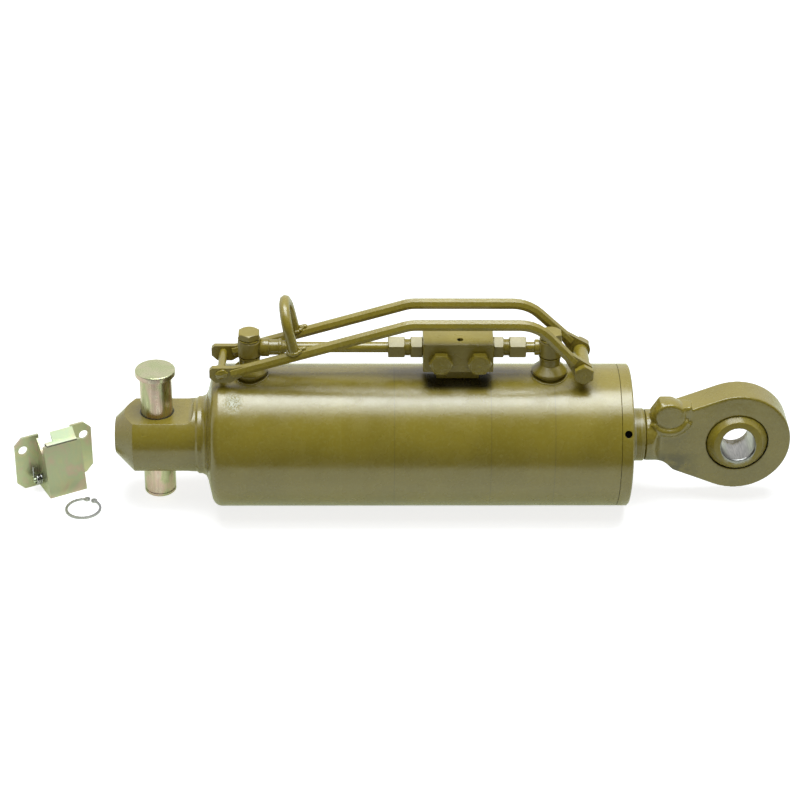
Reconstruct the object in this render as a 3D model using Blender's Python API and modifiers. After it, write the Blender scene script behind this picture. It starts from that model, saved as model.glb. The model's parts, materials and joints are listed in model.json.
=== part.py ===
"""A hydraulic tractor top link with its pin, circlip and spring catch.

Metres, +Z up. The origin is the centre of the nose's flat end face, on the cylinder's axis.
+X runs along the cylinder towards the ball eye. The handle and the check valve are on top.
"""

import math

import bmesh
import bpy
from mathutils import Matrix, Vector

# Clearances and overruns
GAP = 0.0003  # between pieces that touch or are welded
FIT = 0.0004  # between a turned piece and its bore
OVER = 0.004  # how far a cutter runs past what it cuts
FINE_FACETS = 14  # round facets of small pieces
PIN_FACETS = 24
NOSE_FACETS = 36
BARREL_FACETS = 40
PISTON_FACETS = 28
ROD_FACETS = 32
BOSS_FACETS = 20
SEAT_SEGMENTS = 36
MERGE = 0.000005  # points closer than this are one

# Nose lug, turned about X
TIP_RADIUS = 0.0172
NOSE_RADIUS = 0.035
NOSE_CONE_LENGTH = 0.018
NOSE_FLAT_HALF = 0.026
NOSE_FLAT_TO_COLLAR = 0.002
NOSE_FLAT_FILLET = 0.007
NOSE_COLLAR_RADIUS = 0.0368
NOSE_COLLAR_LENGTH = 0.009
NOSE_COLLAR_CHAMFER = 0.002
NOSE_LENGTH = 0.0855

# Hitch pin
PIN_RADIUS = 0.015
PIN_X = 0.0395
PIN_CLEARANCE = 0.0004
PIN_TOP = 0.072
PIN_LENGTH = 0.1334
PIN_HEAD_RADIUS = 0.0188
PIN_HEAD_HEIGHT = 0.006
PIN_HEAD_CHAMFER = 0.0008
PIN_TIP_CHAMFER = 0.0012
PIN_GROOVE_DEPTH = 0.0007
PIN_GROOVE_WIDTH = 0.0016
PIN_GROOVE_TO_TIP = 0.0035

# Barrel
BARREL_RADIUS = 0.0675
BARREL_WALL = 0.0125
BARREL_LENGTH = 0.387
BASE_THICKNESS = 0.026
BASE_FACE_RADIUS = 0.036
BASE_DISH_DEPTH = 0.0062
BASE_CORNER_RADIUS = 0.0088
BASE_CORNER_SWEEP = math.radians(72)

# Gland, screwed into the barrel's open end
GLAND_FLANGE = 0.011
GLAND_FLANGE_CHAMFER = 0.0012
GLAND_INSERT = 0.056
SPANNER_HOLE_RADIUS = 0.0035
SPANNER_HOLE_DEPTH = 0.009
SPANNER_HOLE_ANGLE = math.radians(32)
SPANNER_HOLES = 4
SEAL_GROOVE_DEPTH = 0.005
ROD_SEAL_WIDTH = 0.008
ROD_SEAL_INSET = 0.034
ROD_WIPER_WIDTH = 0.006
ROD_GUIDE_WIDTH = 0.012
ROD_GUIDE_INSET = 0.012
ROD_GUIDE_THICKNESS = 0.0025
GLAND_O_RING_WIRE = 0.0017
GLAND_O_RING_INSET = 0.009

# Piston, rod and nut
ROD_RADIUS = 0.025
ROD_SPIGOT_RADIUS = 0.015
ROD_STICKOUT = 0.0157  # from the gland's face to the eye's seam
ROD_CHAMFER = 0.001
PISTON_INSET = 0.0515
PISTON_LENGTH = 0.054
PISTON_CHAMFER = 0.002
PISTON_SEAL_WIDTH = 0.010
PISTON_SEAL_DEPTH = 0.006
WEAR_RING_WIDTH = 0.008
WEAR_RING_DEPTH = 0.0025
WEAR_RING_INSET = 0.006
PISTON_NUT_ACROSS_FLATS = 0.046
PISTON_NUT_HEIGHT = 0.020
ROD_SPIGOT_PROUD = 0.002

# Ball eye
EYE_FROM_ROD = 0.0875
EYE_RADIUS = 0.0505
EYE_THICKNESS = 0.030
SHANK_RADIUS = 0.0244
NECK_LENGTH = 0.0125
NECK_BLEND_START = 0.0055
NECK_BLEND_LENGTH = 0.012
NECK_FLARE_LENGTH = 0.030
NECK_FLARE_RADIUS = 0.058
BALL_RADIUS = 0.032
BALL_WIDTH = 0.045
BALL_BORE_RADIUS = 0.01605
BALL_BORE_CHAMFER = 0.0012
BALL_SEAT_CLEARANCE = 0.00035
BALL_LEAN = math.radians(6.5)
LUG_FROM_ROD = 0.0232
LUG_TOP = 0.0434
LUG_HALF_LENGTH = 0.0190
LUG_SHELF_RADIUS = 0.0042
LUG_STEP = 0.0037
LUG_THICKNESS = 0.017
LUG_FACE_Y = -0.0165
LUG_EDGE = 0.0018

# Ports on top of the barrel
PORT_HEIGHT = 0.0282
PORT_RADIUS = 0.004
CAP_PORT_INSET = 0.0423
ROD_PORT_INSET = 0.0653
BOSS_RADIUS = 0.0098
BOSS_HEIGHT = 0.018
BOSS_FLARE_RADIUS = 0.0167
BOSS_FOOT_RADIUS = 0.0140
BOSS_FLARE_RISE = 0.0115
BOSS_RIM_RISE = 0.005
BOSS_RIM_HEIGHT = 0.0022
BOSS_THREAD_RADIUS = 0.0065
BOSS_SINK = 0.010
SEAL_THICKNESS = 0.0014
BANJO_RADIUS = 0.0106
BANJO_BORE_RADIUS = 0.0072
BANJO_CHAMFER = 0.001
BANJO_STUB_RADIUS = 0.0062
BANJO_STUB_LENGTH = 0.033
SHORT_STUB_LENGTH = 0.012
BANJO_HEAD_FLATS = 0.019
BANJO_HEAD_HEIGHT = 0.0066
BANJO_BOLT_RADIUS = 0.0060
BANJO_BOLT_BORE = 0.003

# Check valve block
BLOCK_TO_ROD_PORT = 0.1185
BLOCK_LENGTH = 0.065
BLOCK_WIDTH = 0.035
BLOCK_HEIGHT = 0.030
BLOCK_LIFT = 0.011
BLOCK_EDGE = 0.0008
PLUG_FLATS = 0.0195
PLUG_HEAD = 0.0075
PLUG_SPACING = 0.0357
PLUG_MIDDLE_INSET = 0.0341
PLUG_LIFT = 0.0118
PLUG_SHANK_RADIUS = 0.0070
PLUG_SHANK_LENGTH = 0.008
PORT_PASSAGE_RADIUS = 0.003
FITTING_SHANK_LENGTH = 0.006
CHECK_CHAMBER_RADIUS = 0.0056
CHECK_CHAMBER_LENGTH = 0.0068
POPPET_RADIUS = 0.0050
POPPET_LENGTH = 0.0040
CHECK_SPRING_WIRE = 0.0003
CHECK_SPRING_TURNS = 2
PILOT_RADIUS = 0.0040
PILOT_LENGTH = 0.016
PILOT_STEM_RADIUS = 0.0014
PILOT_STEM_PLAY = 0.0008
BLEED_HOLE_RADIUS = 0.003
BLEED_HOLE_DEPTH = 0.004
BLEED_HOLE_Y = -0.0082
FOOT_LENGTH = 0.040
FOOT_WIDTH = 0.018

# Pipes and their compression fittings
PIPE_RADIUS = 0.005
PIPE_BORE_RADIUS = 0.0032
NUT_FLATS = 0.019
NUT_LENGTH = 0.0155
THREAD_LENGTH = 0.005
THREAD_RADIUS = 0.0075
FITTING_FLATS = 0.019
LONG_FITTING_LENGTH = 0.0112
SHORT_FITTING_LENGTH = 0.0095
FITTING_BORE_RADIUS = 0.0035
PIPE_SOCKET_DEPTH = 0.003

# Handle: two bent bars with flattened ends, a hoop, a pin and a bolt
BAR_RADIUS = 0.0052
BAR_Y = 0.0205
BAR_HEIGHT = 0.0629
BAR_BEND_RADIUS = 0.036
FIRST_BEND_TO_BLOCK = 0.0122
FRONT_BEND_TO_BOLT = 0.045
REAR_BEND_TO_BOLT = 0.0505
BASE_PIN_INSET = 0.017
BASE_PIN_LIFT = 0.0125
BASE_PIN_RADIUS = 0.0038
GLAND_BOLT_INSET = 0.0355
GLAND_BOLT_LIFT = 0.0145
FLAT_THICKNESS = 0.0052
BASE_FLAT_LENGTH = 0.0275
BASE_FLAT_HEIGHT = 0.0155
BASE_FLAT_DROP = 0.0015
BASE_FLAT_CORNER = 0.0055
GLAND_FLAT_RADIUS = 0.0095
GLAND_FLAT_LENGTH = 0.022
BAR_ROUND_END = 0.013  # from the gland bolt's axis to where the bar is round again
BOLT_RADIUS = 0.0048
BOLT_FLATS = 0.017
BOLT_HEAD_HEIGHT = 0.0065
NUT_HEIGHT = 0.005
SPACER_RADIUS = 0.0070
SADDLE_THICKNESS = 0.006
SADDLE_WIDTH = 0.020
HOOP_FROM_PORT = 0.0427
HOOP_HEIGHT = 0.0455
HOOP_LEAN = math.radians(12)
HOOP_RADIUS = 0.0050

# Spring catch that the hoop snaps into, loose beside the nose
CATCH_CORNER = (-0.0654, -0.0083)
CATCH_TURN = math.radians(28)
CATCH_WIDTH = 0.0375
CATCH_DEPTH = 0.0307
CATCH_HEIGHT = 0.052
CATCH_SHEET = 0.0025
CATCH_LEAN = 0.0094  # how far the front plate's top lies behind its foot
EAR_WIDTH = 0.0185
LEFT_EAR_WIDTH = 0.0220
EAR_HEIGHT = 0.0565
EAR_CORNER = 0.0075
EAR_HOLE_RADIUS = 0.0047
EAR_HOLE_FROM_TOP = 0.0138
EAR_HOLE_IN = 0.008
WALL_SLOPE_DROP = 0.016
CATCH_PIN_DEPTH = 0.0196
CATCH_PIN_HEIGHT = 0.0125
CATCH_PIN_RADIUS = 0.0025
CATCH_PIN_PROUD = 0.0095
FLAP_SHEET = 0.002
FLAP_LIP_LENGTH = 0.009
FLAP_ROLL_LENGTH = 0.003
FLAP_TONGUE_SETBACK = 0.0085
FLAP_LIP_RISE = 0.0105
FLAP_CHEEK_RADIUS = 0.0062
SPRING_WIRE_RADIUS = 0.0008
SPRING_RADIUS = 0.0046
SPRING_TURNS = 3
SPRING_LEG = 0.012

# Circlip for the pin's groove, lying on the ground
CIRCLIP_PLACE = (-0.0327, -0.0262)
CIRCLIP_RADIUS = 0.0172
CIRCLIP_BAND = 0.0027
CIRCLIP_THIN_BAND = 0.0018
CIRCLIP_THICKNESS = 0.0015
CIRCLIP_LUG_RADIUS = 0.0030
CIRCLIP_LUG_HOLE = 0.0012
CIRCLIP_GAP_HALF = math.radians(3.2)
CIRCLIP_TURN = math.radians(69)

# Places worked out from the sizes
GROUND_Z = -BARREL_RADIUS
BORE_RADIUS = BARREL_RADIUS - BARREL_WALL
BARREL_END = NOSE_LENGTH + BARREL_LENGTH
NOSE_COLLAR_START = NOSE_LENGTH - NOSE_COLLAR_LENGTH
NOSE_FLAT_END = NOSE_COLLAR_START - NOSE_FLAT_TO_COLLAR
BASE_FACE_X = NOSE_LENGTH + GAP
CAVITY_START = BASE_FACE_X + BASE_THICKNESS
GLAND_FACE_X = BARREL_END + GAP
GLAND_OUTER_X = GLAND_FACE_X + GLAND_FLANGE
GLAND_INNER_X = BARREL_END - GLAND_INSERT
GLAND_INSERT_RADIUS = BORE_RADIUS - FIT
ROD_BORE_RADIUS = ROD_RADIUS + FIT
PISTON_START = NOSE_LENGTH + PISTON_INSET
PISTON_END = PISTON_START + PISTON_LENGTH
PISTON_RADIUS = BORE_RADIUS - FIT
ROD_END = GLAND_OUTER_X + ROD_STICKOUT
EYE_X = ROD_END + EYE_FROM_ROD
LUG_X = ROD_END + LUG_FROM_ROD
CAP_PORT_X = NOSE_LENGTH + CAP_PORT_INSET
ROD_PORT_X = BARREL_END - ROD_PORT_INSET
PORT_AXIS_Z = BARREL_RADIUS + PORT_HEIGHT
BOSS_TOP = BARREL_RADIUS + BOSS_HEIGHT
BANJO_HALF = PORT_HEIGHT - BOSS_HEIGHT - SEAL_THICKNESS - 2 * GAP
BLOCK_START = ROD_PORT_X - BLOCK_TO_ROD_PORT
BLOCK_END = BLOCK_START + BLOCK_LENGTH
BLOCK_BOTTOM = BARREL_RADIUS + BLOCK_LIFT
BLOCK_TOP = BLOCK_BOTTOM + BLOCK_HEIGHT
PLUG_MIDDLE = BLOCK_START + PLUG_MIDDLE_INSET
PLUG_Z = BLOCK_BOTTOM + PLUG_LIFT
BASE_PIN_X = NOSE_LENGTH + BASE_PIN_INSET
BASE_PIN_Z = BARREL_RADIUS + BASE_PIN_LIFT
GLAND_BOLT_X = BARREL_END - GLAND_BOLT_INSET
GLAND_BOLT_Z = BARREL_RADIUS + GLAND_BOLT_LIFT
BAR_TOP = BARREL_RADIUS + BAR_HEIGHT
BAR_FIRST_BEND_X = BLOCK_START - FIRST_BEND_TO_BLOCK
HOOP_X = CAP_PORT_X + HOOP_FROM_PORT
CATCH_SLOPE = CATCH_LEAN / CATCH_HEIGHT

parts = bpy.data.collections.new("tractor_top_link")
cutters = bpy.data.collections.new("cutters")


def clear_scene():
    for old in list(bpy.data.objects):
        bpy.data.objects.remove(old)
    bpy.context.scene.collection.children.link(parts)
    bpy.context.scene.collection.children.link(cutters)
    cutters.hide_render = True


def finish_material(name, colour, roughness, metallic):
    made = bpy.data.materials.new(name)
    made.use_nodes = True
    shader = made.node_tree.nodes["Principled BSDF"]
    shader.inputs["Base Color"].default_value = (*colour, 1)
    shader.inputs["Roughness"].default_value = roughness
    shader.inputs["Metallic"].default_value = metallic
    return made


PAINT = ("olive paint", (0.23, 0.20, 0.05), 0.4, 0.0)
ZINC = ("yellow zinc", (0.62, 0.55, 0.30), 0.35, 0.9)
STEEL = ("bright steel", (0.55, 0.55, 0.54), 0.3, 1.0)
CHROME = ("chromed rod", (0.70, 0.70, 0.70), 0.15, 1.0)
SEAL = ("seal rubber", (0.03, 0.03, 0.03), 0.6, 0.0)
GUIDE = ("bronze filled guide", (0.35, 0.22, 0.10), 0.5, 0.2)


def keep(obj, name, finish):
    """Puts a finished shape among the parts, with a material of its own."""
    obj.name = name
    obj.data.materials.clear()
    obj.data.materials.append(finish_material(f"{name} {finish[0]}", *finish[1:]))
    parts.objects.link(obj)
    return obj


def keep_cutter(obj, name):
    obj.name = name
    obj.hide_render = True
    obj.display_type = "WIRE"
    cutters.objects.link(obj)
    return obj


def combine(target, tool, operation="DIFFERENCE"):
    """Cuts, joins or trims the target by a second shape, which goes among the cutters."""
    if not tool.users_collection:
        keep_cutter(tool, f"{target.name} {operation.lower()} {len(target.modifiers)}")
    step = target.modifiers.new(operation.title(), "BOOLEAN")
    step.operation = operation
    step.object = tool
    return target


def turned(profile, place=(0, 0, 0), axis="X", facets=FINE_FACETS, closed=False):
    """A shape turned about an axis. The profile holds (radius, height) pairs, top to bottom outside."""
    mesh = bpy.data.meshes.new("profile")
    points = [(radius, 0, height) for radius, height in profile]
    edges = [(i, i + 1) for i in range(len(points) - 1)]
    if closed:
        edges.append((len(points) - 1, 0))
    mesh.from_pydata(points, edges, [])
    obj = bpy.data.objects.new("turned", mesh)
    obj.location = place
    obj.rotation_euler = {"X": (0, math.pi / 2, 0), "Y": (-math.pi / 2, 0, 0), "Z": (0, 0, 0)}[axis]
    screw = obj.modifiers.new("Turn", "SCREW")
    screw.steps = facets
    screw.render_steps = facets
    screw.use_merge_vertices = True
    screw.merge_threshold = MERGE
    return obj


def ring(outer, inner, top, bottom, place=(0, 0, 0), axis="X", facets=FINE_FACETS):
    """A plain turned ring or tube."""
    profile = [(outer, top), (outer, bottom), (inner, bottom), (inner, top)]
    return turned(profile, place, axis, facets, closed=True)


def rod(radius, top, bottom, place=(0, 0, 0), axis="X", facets=FINE_FACETS, chamfer=0):
    """A plain turned bar, with an edge chamfer if it has one."""
    profile = [(0, top), (radius - chamfer, top), (radius, top - chamfer)]
    profile += [(radius, bottom + chamfer), (radius - chamfer, bottom), (0, bottom)]
    if not chamfer:
        profile = [(0, top), (radius, top), (radius, bottom), (0, bottom)]
    return turned(profile, place, axis, facets)


def solid_object(shape, place=(0, 0, 0), turn=(0, 0, 0)):
    mesh = bpy.data.meshes.new("solid")
    bmesh.ops.recalc_face_normals(shape, faces=shape.faces)
    shape.to_mesh(mesh)
    shape.free()
    obj = bpy.data.objects.new("solid", mesh)
    obj.location = place
    obj.rotation_euler = turn
    return obj


def box(size, middle, edge=0, turn=(0, 0, 0)):
    """A block with bevelled edges, at its real size."""
    shape = bmesh.new()
    bmesh.ops.create_cube(shape, size=1)
    bmesh.ops.scale(shape, vec=size, verts=shape.verts)
    if edge:
        bmesh.ops.bevel(shape, geom=shape.edges[:], offset=edge, segments=1, affect="EDGES")
    return solid_object(shape, middle, turn)


def hexagon(flats, height, middle, axis="Z", turn=0, chamfer_share=0.07, face_share=0.478):
    """A hexagon head whose corners are chamfered by trimming it with a turned blank."""
    shape = bmesh.new()
    corner = flats / math.sqrt(3)
    bmesh.ops.create_cone(
        shape, cap_ends=True, segments=6, radius1=corner, radius2=corner, depth=height
    )
    bmesh.ops.rotate(shape, verts=shape.verts, matrix=Matrix.Rotation(turn, 3, "Z"))
    rotation = {"X": (0, math.pi / 2, 0), "Y": (-math.pi / 2, 0, 0), "Z": (0, 0, 0)}[axis]
    obj = solid_object(shape, middle, rotation)
    slope = flats * chamfer_share
    half = height / 2
    face = flats * face_share
    blank = [(0, half), (face, half), (face + 2 * slope, half - slope)]
    blank += [(face + 2 * slope, -half + slope), (face, -half), (0, -half)]
    combine(obj, turned(blank, middle, axis, FINE_FACETS), "INTERSECT")
    return obj


def flat(outline, thickness, holes=()):
    """A flat outline in XY given a thickness about Z, through a filled curve made a mesh."""
    curve = bpy.data.curves.new("outline", "CURVE")
    curve.dimensions = "2D"
    curve.fill_mode = "BOTH"
    curve.extrude = thickness / 2
    for loop in (outline, *holes):
        spline = curve.splines.new("POLY")
        spline.points.add(len(loop) - 1)
        for point, (x, y) in zip(spline.points, loop):
            point.co = (x, y, 0, 1)
        spline.use_cyclic_u = True
    return curve_to_mesh(curve)


def curve_to_mesh(curve):
    """The mesh of a curve with its caps welded, as a new object."""
    source = bpy.data.objects.new("curve", curve)
    bpy.context.scene.collection.objects.link(source)
    graph = bpy.context.evaluated_depsgraph_get()
    mesh = bpy.data.meshes.new_from_object(source.evaluated_get(graph))
    shape = bmesh.new()
    shape.from_mesh(mesh)
    bmesh.ops.remove_doubles(shape, verts=shape.verts, dist=MERGE)
    bmesh.ops.recalc_face_normals(shape, faces=shape.faces)
    shape.to_mesh(mesh)
    shape.free()
    obj = bpy.data.objects.new("solid", mesh)
    obj.matrix_world = source.matrix_world
    bpy.data.objects.remove(source)
    return obj


def upright(obj, y):
    """Stands a flat outline up, so that its X stays X, its Y becomes Z and its middle lies at y."""
    obj.rotation_euler = (math.pi / 2, 0, 0)
    obj.location = (0, y, 0)
    return obj


def arc(middle, radius, start, end, steps):
    """Points of an arc from one angle to another."""
    angles = [start + (end - start) * i / steps for i in range(steps + 1)]
    return [(middle[0] + radius * math.cos(a), middle[1] + radius * math.sin(a)) for a in angles]


def bent_path(corners, radius, steps=5):
    """The corner points of a path with each inner corner rounded to the bend radius."""
    corners = [Vector(c) for c in corners]
    path = [corners[0]]
    for before, corner, after in zip(corners, corners[1:], corners[2:]):
        back = (before - corner).normalized()
        ahead = (after - corner).normalized()
        half = back.angle(ahead) / 2
        inward = (back + ahead).normalized()
        middle = corner + inward * (radius / math.sin(half))
        start = corner + back * (radius / math.tan(half)) - middle
        end = corner + ahead * (radius / math.tan(half)) - middle
        turn = start.angle(end)
        normal = start.cross(end).normalized()
        for i in range(steps + 1):
            path.append(middle + Matrix.Rotation(turn * i / steps, 3, normal) @ start)
    path.append(corners[-1])
    return path


def wire(path, radius, resolution=2):
    """A round bar along a path, as a mesh."""
    curve = bpy.data.curves.new("wire", "CURVE")
    curve.dimensions = "3D"
    curve.bevel_depth = radius
    curve.bevel_resolution = resolution
    curve.use_fill_caps = True
    spline = curve.splines.new("POLY")
    spline.points.add(len(path) - 1)
    for point, place in zip(spline.points, path):
        point.co = (*place, 1)
    return curve_to_mesh(curve)


def smooth(obj, angle=math.radians(35)):
    obj.data.shade_smooth()
    obj.data.set_sharp_from_angle(angle=angle)
    return obj


def make_nose_lug():
    profile = [
        (0, NOSE_LENGTH),
        (NOSE_COLLAR_RADIUS - NOSE_COLLAR_CHAMFER, NOSE_LENGTH),
        (NOSE_COLLAR_RADIUS, NOSE_LENGTH - NOSE_COLLAR_CHAMFER),
        (NOSE_COLLAR_RADIUS, NOSE_COLLAR_START + NOSE_COLLAR_CHAMFER),
        (NOSE_RADIUS, NOSE_COLLAR_START),
        (NOSE_RADIUS, NOSE_CONE_LENGTH),
        (TIP_RADIUS, 0),
        (0, 0),
    ]
    nose = keep(turned(profile, facets=NOSE_FACETS), "nose_lug", PAINT)
    for side in (1, -1):
        combine(nose, flat_cutter(side))
    reach = NOSE_RADIUS + OVER
    combine(nose, rod(PIN_RADIUS + PIN_CLEARANCE, reach, -reach, (PIN_X, 0, 0), "Z", PIN_FACETS))


def flat_cutter(side):
    """What mills one flat of the nose, with the round root that the cutter's edge leaves."""
    level = side * NOSE_FLAT_HALF
    far = side * (NOSE_RADIUS + OVER)
    middle = (NOSE_FLAT_END - NOSE_FLAT_FILLET, level + side * NOSE_FLAT_FILLET)
    root = arc(middle, NOSE_FLAT_FILLET, -side * math.pi / 2, 0, 6)
    outline = [(-OVER, far), (-OVER, level), *root, (NOSE_FLAT_END, far)]
    return upright(flat(outline, 2 * (NOSE_RADIUS + OVER)), 0)


def make_hitch_pin():
    tip = PIN_TOP - PIN_LENGTH
    groove = tip + PIN_GROOVE_TO_TIP
    under_head = PIN_TOP - PIN_HEAD_HEIGHT
    profile = [
        (0, PIN_TOP),
        (PIN_HEAD_RADIUS - PIN_HEAD_CHAMFER, PIN_TOP),
        (PIN_HEAD_RADIUS, PIN_TOP - PIN_HEAD_CHAMFER),
        (PIN_HEAD_RADIUS, under_head + PIN_HEAD_CHAMFER),
        (PIN_HEAD_RADIUS - PIN_HEAD_CHAMFER, under_head),
        (PIN_RADIUS, under_head),
        (PIN_RADIUS, groove + PIN_GROOVE_WIDTH),
        (PIN_RADIUS - PIN_GROOVE_DEPTH, groove + PIN_GROOVE_WIDTH),
        (PIN_RADIUS - PIN_GROOVE_DEPTH, groove),
        (PIN_RADIUS, groove),
        (PIN_RADIUS, tip + PIN_TIP_CHAMFER),
        (PIN_RADIUS - PIN_TIP_CHAMFER, tip),
        (0, tip),
    ]
    keep(turned(profile, (PIN_X, 0, 0), "Z", PIN_FACETS), "hitch_pin", ZINC)


def make_barrel():
    corner = BASE_CORNER_RADIUS
    shoulder_x = BASE_FACE_X + BASE_DISH_DEPTH
    middle_x = shoulder_x + corner * math.sin(BASE_CORNER_SWEEP)
    bend = [
        (BARREL_RADIUS - corner + corner * math.cos(a), middle_x - corner * math.sin(a))
        for a in (BASE_CORNER_SWEEP * i / 5 for i in range(6))
    ]
    profile = [
        (0, CAVITY_START),
        (BORE_RADIUS, CAVITY_START),
        (BORE_RADIUS, BARREL_END),
        (BARREL_RADIUS, BARREL_END),
        *bend,
        (BASE_FACE_RADIUS, BASE_FACE_X),
        (0, BASE_FACE_X),
    ]
    barrel = keep(turned(profile, facets=BARREL_FACETS), "barrel", PAINT)
    for x in (CAP_PORT_X, ROD_PORT_X):
        combine(barrel, rod(PORT_RADIUS, BARREL_RADIUS + OVER, BORE_RADIUS - OVER, (x, 0, 0), "Z"))


def gland_groove(inset, width, depth):
    """The corners of a groove in the gland's rod bore, from its inner end outwards."""
    start = GLAND_INNER_X + inset
    end = start + width
    deep = ROD_BORE_RADIUS + depth
    return [(ROD_BORE_RADIUS, start), (deep, start), (deep, end), (ROD_BORE_RADIUS, end)]


def make_gland():
    chamfer = GLAND_FLANGE_CHAMFER
    ring_x = GLAND_INNER_X + GLAND_O_RING_INSET
    ring_floor = GLAND_INSERT_RADIUS - 2 * GLAND_O_RING_WIRE - FIT
    wiper_inset = GLAND_OUTER_X - ROD_WIPER_WIDTH - GLAND_INNER_X
    profile = [
        (ROD_BORE_RADIUS + SEAL_GROOVE_DEPTH, GLAND_OUTER_X),
        (BARREL_RADIUS - chamfer, GLAND_OUTER_X),
        (BARREL_RADIUS, GLAND_OUTER_X - chamfer),
        (BARREL_RADIUS, GLAND_FACE_X),
        (GLAND_INSERT_RADIUS, GLAND_FACE_X),
        (GLAND_INSERT_RADIUS, ring_x + 2 * GLAND_O_RING_WIRE),
        (ring_floor, ring_x + 2 * GLAND_O_RING_WIRE),
        (ring_floor, ring_x - 2 * GLAND_O_RING_WIRE),
        (GLAND_INSERT_RADIUS, ring_x - 2 * GLAND_O_RING_WIRE),
        (GLAND_INSERT_RADIUS, GLAND_INNER_X),
        (ROD_BORE_RADIUS, GLAND_INNER_X),
        *gland_groove(ROD_GUIDE_INSET, ROD_GUIDE_WIDTH, ROD_GUIDE_THICKNESS),
        *gland_groove(ROD_SEAL_INSET, ROD_SEAL_WIDTH, SEAL_GROOVE_DEPTH),
        (ROD_BORE_RADIUS, GLAND_INNER_X + wiper_inset),
        (ROD_BORE_RADIUS + SEAL_GROOVE_DEPTH, GLAND_INNER_X + wiper_inset),
    ]
    gland = keep(turned(profile, facets=BARREL_FACETS, closed=True), "gland", PAINT)
    hole_x = GLAND_FACE_X + GLAND_FLANGE / 2
    for i in range(SPANNER_HOLES):
        angle = SPANNER_HOLE_ANGLE + math.tau * i / SPANNER_HOLES
        hole = rod(SPANNER_HOLE_RADIUS, BARREL_RADIUS + OVER, BARREL_RADIUS - SPANNER_HOLE_DEPTH)
        hole.location = (hole_x, 0, 0)
        hole.rotation_euler = (math.pi / 2 - angle, 0, 0)
        combine(gland, hole)


def make_seals():
    inner = ROD_RADIUS + GAP
    deep = ROD_BORE_RADIUS + SEAL_GROOVE_DEPTH - GAP
    start = GLAND_INNER_X + ROD_SEAL_INSET
    lip = (deep - inner) / 3
    seal = [
        (deep, start + ROD_SEAL_WIDTH - GAP),
        (deep, start + GAP),
        (deep - lip, start + GAP),
        (deep - lip * 1.5, start + ROD_SEAL_WIDTH / 3),
        (inner + lip, start + GAP),
        (inner, start + GAP),
        (inner, start + ROD_SEAL_WIDTH - GAP),
    ]
    keep(turned(seal, facets=PIN_FACETS, closed=True), "rod_seal", SEAL)
    guide_start = GLAND_INNER_X + ROD_GUIDE_INSET
    guide = ring(
        ROD_BORE_RADIUS + ROD_GUIDE_THICKNESS - GAP,
        inner,
        guide_start + ROD_GUIDE_WIDTH - GAP,
        guide_start + GAP,
        facets=PIN_FACETS,
    )
    keep(guide, "rod_guide_ring", GUIDE)
    wiper_start = GLAND_OUTER_X - ROD_WIPER_WIDTH
    wiper = [
        (deep - lip, GLAND_OUTER_X),
        (deep, GLAND_OUTER_X - GAP),
        (deep, wiper_start + GAP),
        (inner + lip, wiper_start + GAP),
        (inner + lip / 2, wiper_start + ROD_WIPER_WIDTH / 2),
        (inner, GLAND_OUTER_X + GAP),
        (inner + lip / 2, GLAND_OUTER_X + GAP),
    ]
    keep(turned(wiper, facets=PIN_FACETS, closed=True), "rod_wiper", SEAL)
    ring_x = GLAND_INNER_X + GLAND_O_RING_INSET
    middle = GLAND_INSERT_RADIUS - GLAND_O_RING_WIRE + FIT / 2
    thick = GLAND_O_RING_WIRE - GAP / 2
    circle = [
        (middle + thick * math.cos(-a), ring_x + thick * math.sin(-a))
        for a in (math.tau * i / 6 for i in range(6))
    ]
    keep(turned(circle, facets=PIN_FACETS, closed=True), "gland_o_ring", SEAL)


def make_piston():
    chamfer = PISTON_CHAMFER
    middle = PISTON_START + PISTON_LENGTH / 2
    seal_half = PISTON_SEAL_WIDTH / 2

    def groove(start, width, depth):
        end = start + width
        floor = PISTON_RADIUS - depth
        return [(PISTON_RADIUS, end), (floor, end), (floor, start), (PISTON_RADIUS, start)]

    wear_starts = (PISTON_END - WEAR_RING_INSET - WEAR_RING_WIDTH, PISTON_START + WEAR_RING_INSET)
    profile = [
        (ROD_SPIGOT_RADIUS + FIT, PISTON_END),
        (PISTON_RADIUS - chamfer, PISTON_END),
        (PISTON_RADIUS, PISTON_END - chamfer),
        *groove(wear_starts[0], WEAR_RING_WIDTH, WEAR_RING_DEPTH),
        *groove(middle - seal_half, PISTON_SEAL_WIDTH, PISTON_SEAL_DEPTH),
        *groove(wear_starts[1], WEAR_RING_WIDTH, WEAR_RING_DEPTH),
        (PISTON_RADIUS, PISTON_START + chamfer),
        (PISTON_RADIUS - chamfer, PISTON_START),
        (ROD_SPIGOT_RADIUS + FIT, PISTON_START),
    ]
    keep(turned(profile, facets=PISTON_FACETS, closed=True), "piston", STEEL)
    seal = ring(
        PISTON_RADIUS,
        PISTON_RADIUS - PISTON_SEAL_DEPTH + GAP,
        middle + seal_half - GAP,
        middle - seal_half + GAP,
        facets=PISTON_FACETS,
    )
    keep(seal, "piston_seal", SEAL)
    for start, name in zip(wear_starts, ("rod_side_wear_ring", "cap_side_wear_ring")):
        band = ring(
            PISTON_RADIUS,
            PISTON_RADIUS - WEAR_RING_DEPTH + GAP,
            start + WEAR_RING_WIDTH - GAP,
            start + GAP,
            facets=PISTON_FACETS,
        )
        keep(band, name, GUIDE)


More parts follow.
